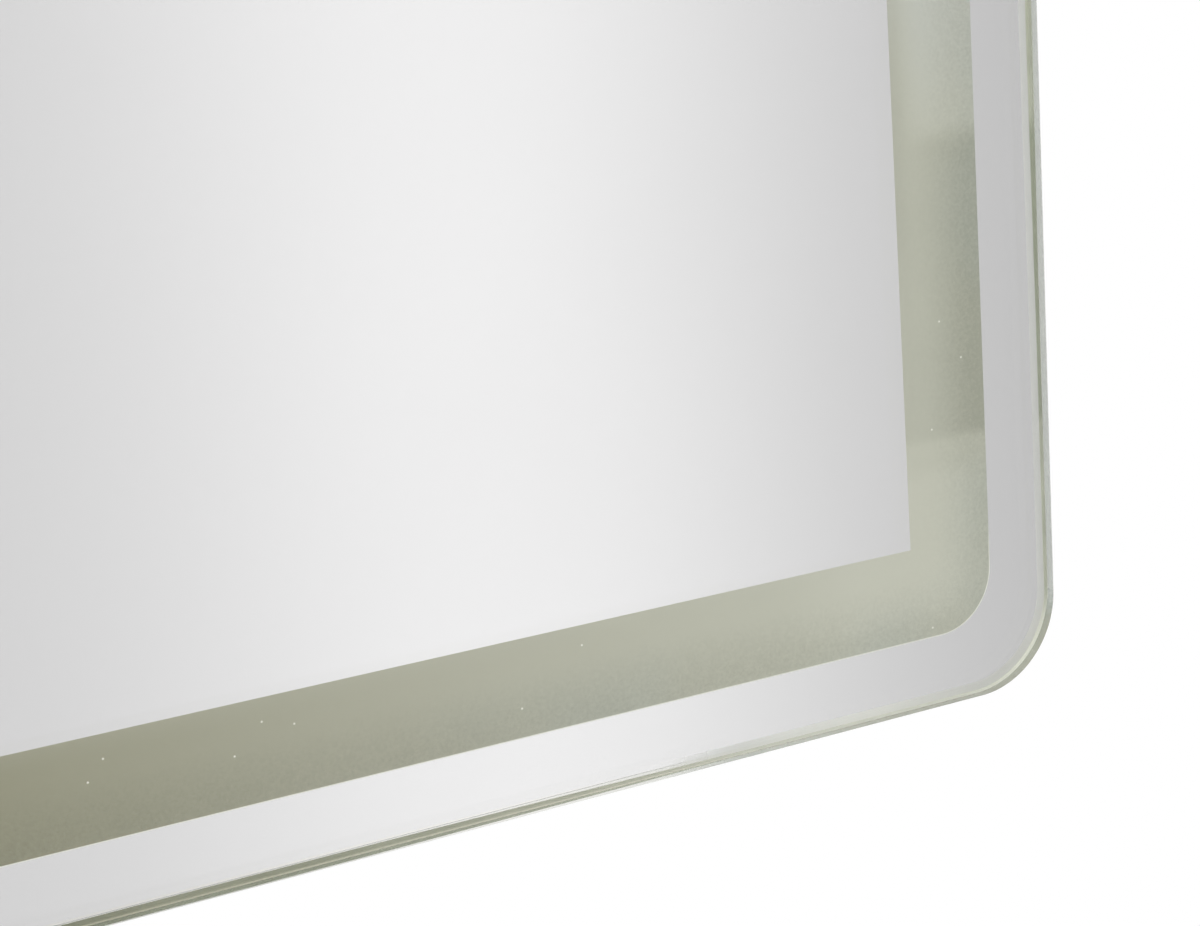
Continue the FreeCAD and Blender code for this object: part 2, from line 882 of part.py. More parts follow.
def make_sensor_lead():
    x = -sensor_lead_offset
    run_x = sensor_run_x()
    upper, lower = sensor_lead_levels()
    end_y = coat_back() + sensor_pad_thickness + sensor_board_thickness / 2
    end_z = touch_z + sensor_height / 2
    start_y = driver_lead_y(sensor_lead_radius)
    points = [Vector(x, start_y, driver_bottom + lead_stub), Vector(x, start_y, driver_bottom - lead_stub)]
    points.append(Vector(run_x, clip_axis_y(), upper))
    points.append(Vector(run_x, clip_axis_y(), lower))
    clear_y = end_y + sensor_lead_radius
    points.append(Vector(0, clear_y, end_z + lead_stub))
    points.append(Vector(0, clear_y, end_z))
    return lead(points, sensor_lead_radius)


def coat_back():
    return tape_front


def clip_levels():
    # two clips on the run of the sensor lead along the panel
    upper, lower = sensor_lead_levels()
    clip_shares = (0.25, 0.75)
    return [upper + (lower - upper) * share for share in clip_shares]


def make_clips():
    clips = []
    reach = clip_foot + 2 * (sensor_lead_radius + hole_clearance) + clip_wall
    for z in clip_levels():
        body = block(sensor_run_x(), z, clip_width, clip_length, panel_front, panel_front - reach)
        start = Vector(sensor_run_x(), clip_axis_y(), z - clip_length / 2 - overrun)
        hole = Part.makeCylinder(sensor_lead_radius + hole_clearance, clip_length + 2 * overrun, start)
        clips.append(body.cut(hole))
    return Part.makeCompound(clips)


def demister_tab_z():
    return demister_z + demister_height / 2 - demister_tab_height


def make_demister_lead():
    y = terminal_y()
    end_y = coat_back() + demister_thickness + demister_tab_thickness
    exit_z = box_z + box_height / 2 + lead_stub
    tab_z = demister_tab_z()
    middle_y = (y + end_y) / 2
    points = [Vector(0, y, box_z + terminal_height / 2), Vector(0, y, exit_z)]
    points.append(Vector(lead_side_step, middle_y, (exit_z + tab_z) / 2))
    points.append(Vector(0, end_y + demister_lead_radius, tab_z - demister_tab_height / 2 - lead_stub))
    points.append(Vector(0, end_y + demister_lead_radius, tab_z))
    return lead(points, demister_lead_radius)


def make_earth_lead():
    y = terminal_y()
    floor = box_front + box_sheet + earth_lead_radius
    edge_x = terminal_width() / 2
    end_x = earth_offset - lug_radius
    turn_x = (edge_x + end_x) / 2
    points = [Vector(edge_x, y, box_z), Vector(turn_x, y, box_z)]
    points += [Vector(turn_x, floor, box_z), Vector(end_x, floor, box_z)]
    return lead(points, earth_lead_radius)


# Touch sensor and demister

def make_sensor_pad():
    width = sensor_width - 2 * sensor_pad_margin
    height = sensor_height - 2 * sensor_pad_margin
    back = coat_back() + sensor_pad_thickness
    return block(0, touch_z, width, height, back, coat_back())


def make_sensor_board():
    front = coat_back() + sensor_pad_thickness
    back = front + sensor_board_thickness
    board = block(0, touch_z, sensor_width, sensor_height, back, front)
    chip = block(0, touch_z, sensor_chip_size, sensor_chip_size, back + sensor_chip_height, back)
    return board.fuse(chip).removeSplitter()


def make_demister_pad():
    back = coat_back() + demister_thickness
    film = block(0, demister_z, demister_width, demister_height, back, coat_back())
    tab_back = back + demister_tab_thickness
    tab = block(0, demister_tab_z(), demister_tab_width, demister_tab_height, tab_back, back)
    return film.fuse(tab).removeSplitter()


# Hanging rails and bumpers

def extrude_profile(points, length):
    # bar along X with a closed profile given as depth and height
    corners = [Vector(-length / 2, y, z) for y, z in points]
    face = Part.Face(Part.makePolygon(corners + corners[:1]))
    return face.extrude(Vector(length, 0, 0))


def make_wall_rail():
    hook_back = -(rail_thickness + 2 * rail_clearance)
    hook_front = hook_back - rail_thickness
    low = -wall_flange_height / 2
    points = [(0, low), (0, pocket_z), (hook_back, pocket_z), (hook_back, hook_tip)]
    points += [(hook_front, hook_tip), (hook_front, web_bottom)]
    points += [(-rail_thickness, web_bottom), (-rail_thickness, low)]
    bar = extrude_profile(points, wall_rail_length)
    for sign in (-1, 1):
        bar = bar.cut(bore(sign * wall_hole_spacing / 2, 0, wall_hole_radius, 0, -rail_thickness))
        slot_x = sign * (wall_rail_length / 2 - wall_slot_inset)
        width = 2 * wall_hole_radius
        bar = bar.cut(obround(slot_x, 0, wall_slot_length, width, overrun, -rail_thickness - overrun))
    return bar


def make_hanging_rail():
    hook_back = -rail_clearance
    hook_front = hook_back - rail_thickness
    flange_back = panel_back + rail_thickness
    top = mirror_web_top + mirror_flange_height
    points = [(hook_back, pocket_z), (hook_back, mirror_web_top), (flange_back, mirror_web_top)]
    points += [(flange_back, top), (panel_back, top), (panel_back, mirror_web_bottom)]
    points += [(hook_front, mirror_web_bottom), (hook_front, pocket_z)]
    bar = extrude_profile(points, mirror_rail_length)
    for x in rail_rivet_places():
        bar = bar.cut(bore(x, rail_rivet_z, rivet_hole_radius, flange_back, panel_back))
    return bar


def make_rail_rivets():
    back = Vector(0, 1, 0)
    rivets = []
    for x in rail_rivet_places():
        head_seat = Vector(x, panel_back + rail_thickness, rail_rivet_z)
        tail_seat = Vector(x, panel_front, rail_rivet_z)
        rivets.append(rivet(head_seat, tail_seat, back))
    return Part.makeCompound(rivets)


def make_bumpers():
    bumpers = []
    for x in (bumper_inset - half_width, half_width - bumper_inset):
        foot = Vector(x, panel_back, bottom_z + bumper_height)
        bumpers.append(Part.makeCone(bumper_radius, bumper_tip_radius, wall_gap, foot, Vector(0, 1, 0)))
    return Part.makeCompound(bumpers)


# Every piece, under its name

pieces = {
    "mirror_glass": make_glass,
    "silver_border": make_silver_border,
    "frosted_band": make_frosted_band,
    "silver_centre": make_silver_centre,
    "touch_ring": make_touch_ring,
    "glazing_tape": make_glazing_tape,
    "frame": make_frame,
    "splice_plate": make_splice_plate,
    "splice_rivets": make_splice_rivets,
    "panel_gasket": make_gasket,
    "back_panel": make_panel,
    "panel_screws": make_panel_screws,
    "led_strip": make_strip,
    "led_chips": make_chips,
    "driver_case": make_driver_case,
    "driver_lid": make_driver_lid,
    "driver_board": make_driver_board,
    "driver_screws": make_driver_screws,
    "wiring_box": make_wiring_box,
    "lead_bushings": make_bushings,
    "wiring_hatch": make_hatch,
    "hatch_screws": make_hatch_screws,
    "cable_grommet": make_grommet,
    "terminal_block": make_terminal_block,
    "terminal_screws": make_terminal_screws,
    "earth_lug": make_earth_lug,
    "earth_screw": make_earth_screw,
    "supply_lead": make_supply_lead,
    "strip_lead": make_strip_lead,
    "sensor_lead": make_sensor_lead,
    "demister_lead": make_demister_lead,
    "earth_lead": make_earth_lead,
    "cable_clips": make_clips,
    "touch_sensor_pad": make_sensor_pad,
    "touch_sensor_board": make_sensor_board,
    "demister_pad": make_demister_pad,
    "wall_rail": make_wall_rail,
    "hanging_rail": make_hanging_rail,
    "rail_rivets": make_rail_rivets,
    "bumpers": make_bumpers,
}

os.makedirs("parts", exist_ok=True)
for name, make in pieces.items():
    save(name, make())
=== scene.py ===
import bpy
import bmesh
import math
from mathutils import Matrix, Vector


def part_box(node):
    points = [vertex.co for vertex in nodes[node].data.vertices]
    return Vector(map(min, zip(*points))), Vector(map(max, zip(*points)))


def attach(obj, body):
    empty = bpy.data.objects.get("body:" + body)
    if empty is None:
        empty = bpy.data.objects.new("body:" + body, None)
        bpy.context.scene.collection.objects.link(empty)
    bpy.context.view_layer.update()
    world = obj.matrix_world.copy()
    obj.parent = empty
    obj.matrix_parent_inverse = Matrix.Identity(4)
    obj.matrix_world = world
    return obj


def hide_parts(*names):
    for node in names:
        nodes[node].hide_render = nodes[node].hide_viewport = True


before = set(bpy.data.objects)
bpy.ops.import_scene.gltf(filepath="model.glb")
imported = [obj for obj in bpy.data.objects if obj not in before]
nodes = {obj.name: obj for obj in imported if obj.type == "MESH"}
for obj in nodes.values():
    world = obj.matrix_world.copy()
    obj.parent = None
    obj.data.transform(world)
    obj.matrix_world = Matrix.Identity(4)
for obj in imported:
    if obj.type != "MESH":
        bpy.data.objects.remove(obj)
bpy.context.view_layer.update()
print("frame loaded:", len(nodes), "nodes")


# a socket that does maths, and a tree that makes any node

class Link:
    def __init__(self, graph, socket):
        self.graph = graph
        self.socket = socket

    def math(self, operation, *others):
        values = dict(enumerate((self,) + others))
        return self.graph.add("ShaderNodeMath", {"operation": operation}, values)

    def __add__(self, other):
        return self.math("ADD", other)

    def __radd__(self, other):
        return self.math("ADD", other)

    def __sub__(self, other):
        return self.math("SUBTRACT", other)

    def __rsub__(self, other):
        return self.graph.add("ShaderNodeMath", {"operation": "SUBTRACT"}, {0: other, 1: self})

    def __mul__(self, other):
        return self.math("MULTIPLY", other)

    def __rmul__(self, other):
        return self.math("MULTIPLY", other)

    def __truediv__(self, other):
        return self.math("DIVIDE", other)

    def __pow__(self, other):
        return self.math("POWER", other)

    def span(self, low, high, style="SMOOTHSTEP"):  # 0 at low, 1 at high, held outside
        sockets = {"Value": self, "From Min": low, "From Max": high}
        return self.graph.add("ShaderNodeMapRange", {"interpolation_type": style}, sockets)

    def held(self):  # kept between 0 and 1
        return self.math("MAXIMUM", 0).math("MINIMUM", 1)


class Graph:
    def __init__(self, tree):
        self.tree = tree

    def add(self, kind, settings=None, sockets=None, out=0):
        node = self.tree.nodes.new(kind)
        for key, value in (settings or {}).items():
            setattr(node, key, value)
        for key, value in (sockets or {}).items():
            for link in value if isinstance(value, list) else [value]:
                if isinstance(link, Link):
                    self.tree.links.new(link.socket, node.inputs[key])
                else:
                    node.inputs[key].default_value = link
        return Link(self, node.outputs[out]) if len(node.outputs) else None

    def parts(self, vector):  # x, y and z of a vector
        return [self.add("ShaderNodeSeparateXYZ", None, {0: vector}, out=axis) for axis in range(3)]

    def place(self):  # x and z in the part's frame
        return self.parts(self.add("ShaderNodeTexCoord", out="Object"))[::2]

    def attribute(self, name):  # a number kept on the points of the mesh
        return self.add("ShaderNodeAttribute", {"attribute_name": name}, out="Fac")

    def mix(self, factor, first, second):  # colour mix
        return self.add("ShaderNodeMix", {"data_type": "RGBA"}, {0: factor, 6: first, 7: second}, out=2)

    def dim(self, factor, colour, share):  # colour times share, by the factor
        settings = {"data_type": "RGBA", "blend_type": "MULTIPLY"}
        return self.add("ShaderNodeMix", settings, {0: factor, 6: colour, 7: share}, out=2)

    def coords(self, stretch=(1, 1, 1), shift=(0, 0, 0)):  # object coordinates, stretched and shifted
        place = self.add("ShaderNodeTexCoord", out="Object")
        return self.add("ShaderNodeMapping", None, {"Vector": place, "Location": shift, "Scale": stretch})

    def noise(self, scale, stretch=(1, 1, 1), detail=2.0, roughness=0.5):
        sockets = {"Vector": self.coords(stretch), "Scale": scale, "Detail": detail, "Roughness": roughness}
        return self.add("ShaderNodeTexNoise", None, sockets)

    def bump(self, height, strength, distance):
        sockets = {"Height": height, "Strength": strength, "Distance": distance}
        return self.add("ShaderNodeBump", None, sockets)

    def finish(self, **sockets):  # principled surface on the output
        named = {key.replace("_", " "): value for key, value in sockets.items()}
        shader = self.add("ShaderNodeBsdfPrincipled", None, named)
        self.add("ShaderNodeOutputMaterial", None, {"Surface": shader})


def newMaterial(name):
    material = bpy.data.materials.new(name)
    material.use_nodes = True
    material.node_tree.nodes.clear()
    return material, Graph(material.node_tree)


def rgb(red, green, blue):  # screen colour to linear
    def one(value):
        value /= 255
        return value / 12.92 if value <= 0.04045 else ((value + 0.055) / 1.055) ** 2.4
    return (one(red), one(green), one(blue), 1.0)


# outline of the arch, as the CAD gives it

glassLow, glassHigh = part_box("mirror_glass")
arch = {
    "halfWidth": glassHigh[0],
    "bottom": glassLow[2],
    "spring": glassHigh[2] - glassHigh[0],
    "corner": 0.020,
    "archSteps": 240,
    "cornerSteps": 36,
    "sideSteps": 10,
}


def ramp(value, start, end):  # 0 at start, 1 at end, held outside
    return min(max((value - start) / (end - start), 0), 1)


def archLoop(inset, corner=None, gap=0.0):
    # from the middle of the bottom edge to the right, up, over the arch and back
    half = arch["halfWidth"] - inset
    low = arch["bottom"] + inset
    radius = max(arch["corner"] - inset, 0) if corner is None else corner
    steps = arch["sideSteps"]
    straight = half - radius - gap
    points = [(gap + straight * k / steps, low) for k in range(steps)]
    for k in range(arch["cornerSteps"] + 1):
        turn = math.pi / 2 * k / arch["cornerSteps"]
        points.append((half - radius + radius * math.sin(turn), low + radius - radius * math.cos(turn)))
    rise = arch["spring"] - low - radius
    points += [(half, low + radius + rise * k / steps) for k in range(1, steps)]
    for k in range(arch["archSteps"] // 2):
        turn = math.pi * k / arch["archSteps"]
        points.append((half * math.cos(turn), arch["spring"] + half * math.sin(turn)))
    left = [(-x, z) for x, z in reversed(points)]
    return points + [(0.0, arch["spring"] + half)] + (left if gap else left[:-1])


meshLook = {
    "placeDigits": 7,
    "weld": 1e-7,
    "stripCorners": 4,
    "sharpAngle": 30,
    "treeSharpAngle": 40,
}


def addLoop(build, points, depth):
    return [build.verts.new((x, depth, z)) for x, z in points]


def bridge(build, first, second, slotIndex=0, closed=True):
    # strip of faces between two loops, with triangles where a corner runs to a point
    count = len(first)
    for k in range(count if closed else count - 1):
        ring = [first[k], first[(k + 1) % count], second[(k + 1) % count], second[k]]
        places = {}
        for vertex in ring:
            places.setdefault(tuple(round(c, meshLook["placeDigits"]) for c in vertex.co), vertex)
        if len(places) > 2:
            face = build.faces.new(list(places.values()))
            face.material_index = slotIndex
            face.smooth = True


def addPiece(name, mesh, body, replaced):
    piece = bpy.data.objects.new(name, mesh)
    bpy.context.scene.collection.objects.link(piece)
    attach(piece, body)
    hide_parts(*replaced)
    print("made", name, len(mesh.polygons), "faces")
    return piece


def closeMesh(name, build, materials, sharpAngle=meshLook["sharpAngle"]):
    bmesh.ops.remove_doubles(build, verts=build.verts, dist=meshLook["weld"])
    bmesh.ops.recalc_face_normals(build, faces=build.faces)
    mesh = bpy.data.meshes.new(name)
    build.to_mesh(mesh)
    build.free()
    for material in materials:
        mesh.materials.append(material)
    mesh.set_sharp_from_angle(angle=math.radians(sharpAngle))
    for face in mesh.polygons:  # faces with many corners stay flat
        face.use_smooth = len(face.vertices) <= meshLook["stripCorners"]
    return mesh


# painted shade: darker in the middle of the bottom and along a stretch of each side

paintedShadeLook = {
    "sideLow": -0.6225,
    "sideHigh": -0.5600,
    "lowBlur": 0.0015,
    "highBlur": 0.003,
    "leanRise": 0.060,
    "bottomFrom": 0.050,  # height above the bottom edge
    "bottomTo": 0.030,
    "middleFrom": 0.25,  # distance from the middle
    "middleTo": 0.06,
}


def paintedShade(graph, lean=0.0):
    # painted shade of the bottom and of the sides; lean draws the upper end of the dark stretch upwards,
    # softly
    x, z = graph.place()
    low = arch["bottom"]
    bottomRun = z.span(low + paintedShadeLook["bottomFrom"], low + paintedShadeLook["bottomTo"])
    middle = x.math("ABSOLUTE").span(paintedShadeLook["middleFrom"], paintedShadeLook["middleTo"], "LINEAR")
    start, end = paintedShadeLook["sideLow"], paintedShadeLook["sideHigh"]
    side = z.span(start - paintedShadeLook["lowBlur"], start + paintedShadeLook["lowBlur"])
    above = z.span(end - paintedShadeLook["highBlur"], end + paintedShadeLook["highBlur"])
    above = above * (1 - z.span(end + paintedShadeLook["leanRise"], end) * lean)
    return bottomRun * middle, side * (1 - above)


# glass: clear pane, edge polished and at the lower corners ground, ground margin behind

glassLook = {
    "tint": (0.806, 0.872, 0.839, 1.0),
    "density": 9.0,
    "ior": 1.52,
    "hazeScale": 14.0,
    "hazeFrom": 0.55,
    "hazeTo": 0.85,
    "faceRoughness": 0.004,
    "edgeTint": (0.66, 0.78, 0.72, 1),  # what the polished edge lets through
    "edgeBody": rgb(142, 170, 154),
    "edgeHaze": 0.12,
    "edgeRoughness": 0.15,
    "edgeRoughnessChange": 0.1,
    "patchLow": 0.7,  # the matte share comes in patches
    "patchChange": 0.6,
    "arcBody": rgb(181, 183, 163),  # ground edge round the lower corners
    "arcHaze": 0.66,
    "arcFrom": 0.185,  # distance from the middle
    "arcTo": 0.260,
    "arcTop": 0.021,  # height above the bottom
    "arcFull": 0.012,
    "edgeInset": 0.0005,  # the flat edge, from the CAD outline
    "frontArris": 0.00006,
    "backArris": 0.0003,
    "backArrisDepth": 0.0012,
    "backGap": 0.00002,  # keeps the back face off the coat
    "sharpAngle": 10,
    "margin": 0.0013,  # from the CAD outline to the coat
    "middleMargin": 0.0016,
    "middleFull": 0.13,  # distance from the middle
    "middleEnd": 0.18,
    "cornerMargin": 0.0009,
    "cornerTop": -0.545,  # height in the part's frame
    "cornerFull": -0.610,
    "ground": rgb(207, 210, 191),
    "groundDark": rgb(196, 199, 180),
    "groundCloud": 60.0,
    "cloudFrom": 0.35,
    "cloudTo": 0.65,
    "groundPaintedLight": rgb(236, 237, 223),  # painted light, towards and round the lower corners
    "paintedLightShare": 0.6,
    "paintedLightFrom": 0.12,  # distance from the middle
    "paintedLightTo": 0.23,
    # painted highlight along the back arris of the bottom run
    "arrisHighlight": rgb(250, 248, 230),
    "arrisFrom": 0.35,
    "arrisTo": 0.6,
    "runTop": 0.010,  # height above the bottom
    "runFull": 0.003,
    "cornerFrom": 0.225,  # distance from the middle
    "cornerTo": 0.275,
    # painted shade: darker in the middle of the bottom and along a stretch of each side
    "bottomShade": (0.55, 0.54, 0.475, 1),
    "sideShade": (0.74, 0.76, 0.72, 1),
    "grainScale": 3000.0,
    "groundRoughness": 0.5,
    "groundRoughnessChange": 0.2,
    "relief": 0.05,
    "reliefDepth": 0.0001,
}


def cornerArc(graph):
    # 1 round the two lower corners, fading out along the bottom and up the sides
    x, z = graph.place()
    aside = x.math("ABSOLUTE").span(glassLook["arcFrom"], glassLook["arcTo"])
    return aside * z.span(arch["bottom"] + glassLook["arcTop"], arch["bottom"] + glassLook["arcFull"])


def makeClearGlass():
    material, graph = newMaterial("clearGlass")
    look = glassLook
    arc = cornerArc(graph)
    haze = graph.noise(look["hazeScale"], detail=3.0)
    edge = graph.attribute("edge")
    clear = graph.add("ShaderNodeBsdfPrincipled", None, {
        "Base Color": graph.mix(edge, (1, 1, 1, 1), look["edgeTint"]),
        "Roughness": haze.span(look["hazeFrom"], look["hazeTo"]) * look["faceRoughness"],
        "IOR": look["ior"], "Transmission Weight": 1.0})
    body = graph.add("ShaderNodeBsdfPrincipled", None, {
        "Base Color": graph.mix(arc, look["edgeBody"], look["arcBody"]),
        "Roughness": look["edgeRoughness"] + haze * look["edgeRoughnessChange"], "IOR": look["ior"]})
    patches = look["patchLow"] + haze * look["patchChange"]
    matte = edge * (look["edgeHaze"] + arc * look["arcHaze"]) * patches
    shader = graph.add("ShaderNodeMixShader", None, {0: matte, 1: clear, 2: body})
    tinted = {"Color": look["tint"], "Density": look["density"]}
    inside = graph.add("ShaderNodeVolumeAbsorption", None, tinted)
    graph.add("ShaderNodeOutputMaterial", None, {"Surface": shader, "Volume": inside})
    return material


def makeGroundEdge():
    material, graph = newMaterial("groundEdge")
    look = glassLook
    cloud = graph.noise(look["groundCloud"], detail=3.0)
    grain = graph.noise(look["grainScale"])
    edge = graph.attribute("edge")
    x, z = graph.place()
    aside = x.math("ABSOLUTE")
    bottomRun = z.span(arch["bottom"] + look["runTop"], arch["bottom"] + look["runFull"])
    bottomRun = bottomRun * aside.span(look["cornerTo"], look["cornerFrom"])
    # painted light: the margin paler along the bottom towards the lower corners
    pale = bottomRun * aside.span(look["paintedLightFrom"], look["paintedLightTo"]) * look["paintedLightShare"]
    # painted highlight on the back arris along the bottom run
    paintedArrisHighlight = bottomRun * edge.span(look["arrisFrom"], look["arrisTo"])
    tone = graph.mix(cloud.span(look["cloudFrom"], look["cloudTo"]), look["ground"], look["groundDark"])
    tone = graph.mix(pale, tone, look["groundPaintedLight"])
    tone = graph.mix(paintedArrisHighlight, tone, look["arrisHighlight"])
    # painted light round the lower corners
    tone = graph.mix(cornerArc(graph), tone, look["groundPaintedLight"])
    # painted shade over the margin's tone
    bottomDim, sideDim = paintedShade(graph)
    tone = graph.dim(bottomDim, tone, look["bottomShade"])
    tone = graph.dim(sideDim, tone, look["sideShade"])
    graph.finish(Base_Color=tone, Roughness=look["groundRoughness"] + grain * look["groundRoughnessChange"],
                 Normal=graph.bump(grain, look["relief"], look["reliefDepth"]))
    return material


def marginLoop():
    # wider along the middle of the bottom, narrower round the lower corners
    points = []
    insets = glassLook["margin"], glassLook["middleMargin"], glassLook["cornerMargin"]
    for (x, z), middle, corner in zip(*[archLoop(inset) for inset in insets]):
        low = ramp(z, glassLook["cornerTop"], glassLook["cornerFull"])
        middleShare = low * ramp(abs(x), glassLook["middleEnd"], glassLook["middleFull"])
        cornerShare = low * ramp(abs(x), glassLook["middleEnd"], glassLook["cornerFrom"])
        plain = 1 - middleShare - cornerShare
        points.append((x * plain + middle[0] * middleShare + corner[0] * cornerShare,
                       z * plain + middle[1] * middleShare + corner[1] * cornerShare))
    return points


def makeGlassPane():
    look = glassLook
    front = glassLow[1]
    back = glassHigh[1] - look["backGap"]
    wall = archLoop(look["edgeInset"])
    clear, ground = 0, 1  # places of the two materials
    rings = [
        (archLoop(look["edgeInset"] + look["frontArris"]), front, clear),
        (wall, front + look["frontArris"], clear),
        (wall, back - look["backArrisDepth"], clear),
        (archLoop(look["edgeInset"] + look["backArris"]), back, ground),
        (marginLoop(), back, ground),
    ]
    build = bmesh.new()
    edgeShare = build.verts.layers.float.new("edge")  # 1 on the flat edge, 0 on both faces
    loops = [addLoop(build, points, depth) for points, depth, slotIndex in rings]
    for vertex in loops[1] + loops[2]:
        vertex[edgeShare] = 1.0
    build.faces.new(loops[0])
    for k in range(1, len(loops)):
        bridge(build, loops[k], loops[k - 1], slotIndex=rings[k][2])
    build.faces.new(loops[-1])
    materials = [makeClearGlass(), makeGroundEdge()]
    mesh = closeMesh("glassPane", build, materials, sharpAngle=look["sharpAngle"])
    pane = addPiece("glassPane", mesh, "mirror", ["mirror_glass"])
    pane.visible_shadow = False  # clear glass lets the lamps through


# silvering and the frosted light band, thin layers on the back of the glass

silverLook = {
    "tone": (0.944, 0.935, 0.940, 1),
    "worn": (0.925, 0.915, 0.920, 1),
    "cloudScale": 9.0,
    "wornFrom": 0.4,
    "wornTo": 0.8,
    "roughness": 0.004,
    "roughnessChange": 0.004,
    "creamReflection": (0.96, 0.942, 0.905, 1),  # painted reflection: edge of the coat along the bottom tinted cream
    "creamFrom": 0.93,  # share of the border's width
    "creamTo": 0.965,
    "dull": rgb(223, 223, 219),  # edge of the coat at the sides and corners
    "dullFrom": 0.870,
    "dullTo": 0.876,
    "dullRoughness": 0.6,
    "dullPaintedLight": rgb(252, 252, 246),  # painted light: the dull edge paler where the bottom nears the corners
    "lowTop": 0.016,  # height above the bottom
    "lowFull": 0.003,
    "paintedLightFrom": 0.250,  # distance from the middle
    "paintedLightTo": 0.290,
    "runFrom": 0.195,  # the bottom run that isn't dull
    "runTo": 0.235,
    "runHeight": 0.020,
}


def makeSilver():
    material, graph = newMaterial("silvering")
    look = silverLook
    cloud = graph.noise(look["cloudScale"], detail=3.0)
    across = graph.attribute("across")
    x, z = graph.place()
    aside = x.math("ABSOLUTE")
    tone = graph.mix(cloud.span(look["wornFrom"], look["wornTo"]), look["tone"], look["worn"])
    # painted reflection: cream tint on the outer edge of the coat
    tone = graph.mix(across.span(look["creamFrom"], look["creamTo"]), tone, look["creamReflection"])
    run = aside.span(look["runTo"], look["runFrom"])
    run = run * z.math("LESS_THAN", arch["bottom"] + look["runHeight"])
    dull = across.span(look["dullFrom"], look["dullTo"]) * (1 - run)
    # painted light: the dull edge paler where the bottom nears the corners
    low = z.span(arch["bottom"] + look["lowTop"], arch["bottom"] + look["lowFull"])
    low = low * aside.span(look["paintedLightTo"], look["paintedLightFrom"])
    tone = graph.mix(dull, tone, graph.mix(low, look["dull"], look["dullPaintedLight"]))
    roughness = look["roughness"] + cloud * look["roughnessChange"] + dull * look["dullRoughness"]
    graph.finish(Base_Color=tone, Metallic=1 - dull, Roughness=roughness)
    return material


bandLook = {
    "border": 0.015,
    "width": 0.020,
    "corner": 0.013,
    # lit and shaded tones of the band, mixed by the painted shade in makeFrosted
    "light": rgb(213, 214, 196),
    "dark": rgb(172, 174, 155),
    "outerFrom": 0.20,  # share of the width, from the inner edge
    # painted shade: darker towards the outer edge and along the dark stretch of each side
    "outerShade": 0.41,
    "sideShade": 0.24,
    "sideOuterShade": 0.28,
    "cloudScale": 30.0,
    "cloudShade": 0.3,
    "grainScale": 1500.0,
    "grainShade": 0.25,
    "grainOuterShade": 0.8,
    "bottomShade": (0.51, 0.49, 0.385, 1),  # painted shade, share left at the middle of the bottom
    "cool": (0.975, 0.995, 1.03, 1),  # bluish clouds in the outer half
    "coolScale": 17.0,
    "coolFrom": 0.48,
    "coolTo": 0.66,
    "paintedLightAbove": (1.03, 1.045, 1.13, 1),  # painted light, bluish, above the dark stretch of a side
    "openFrom": -0.010,  # height from the upper end of the stretch
    "openTo": 0.030,
    "leanShare": 0.42,  # of the width, from the inner edge
    # painted shade along the inner edge, beside the dark stretch
    "innerShade": (0.93, 0.93, 0.93, 1),
    "innerEnd": 0.20,
    "innerRise": 0.015,  # height from the lower end of the stretch
    # painted light towards the lower corners, fading at the outer edge
    "cornerPaintedLight": (1.065, 1.062, 1.075, 1),
    "cornerFrom": 0.225,  # distance from the middle
    "cornerTo": 0.258,
    "cornerTop": -0.004,  # height from the lower end of the stretch
    "cornerFull": -0.010,
    "cornerEnd": 0.6,
    "pale": rgb(254, 254, 244),  # specks, and the painted highlight along the outer edge of the bottom run
    "highlightFrom": 0.988,
    "highlightTo": 0.992,
    "highlightTop": 0.040,  # height above the bottom
    "highlightFull": 0.025,
    "speckScale": 60.0,
    "speckCore": 0.007,
    "speckEdge": 0.018,
    "sparseScale": 70.0,
    "sparseFrom": 0.52,
    "sparseTo": 0.58,
    "roughness": 0.55,
    "roughnessChange": 0.2,
    "relief": 0.25,
    "reliefDepth": 0.0001,
}


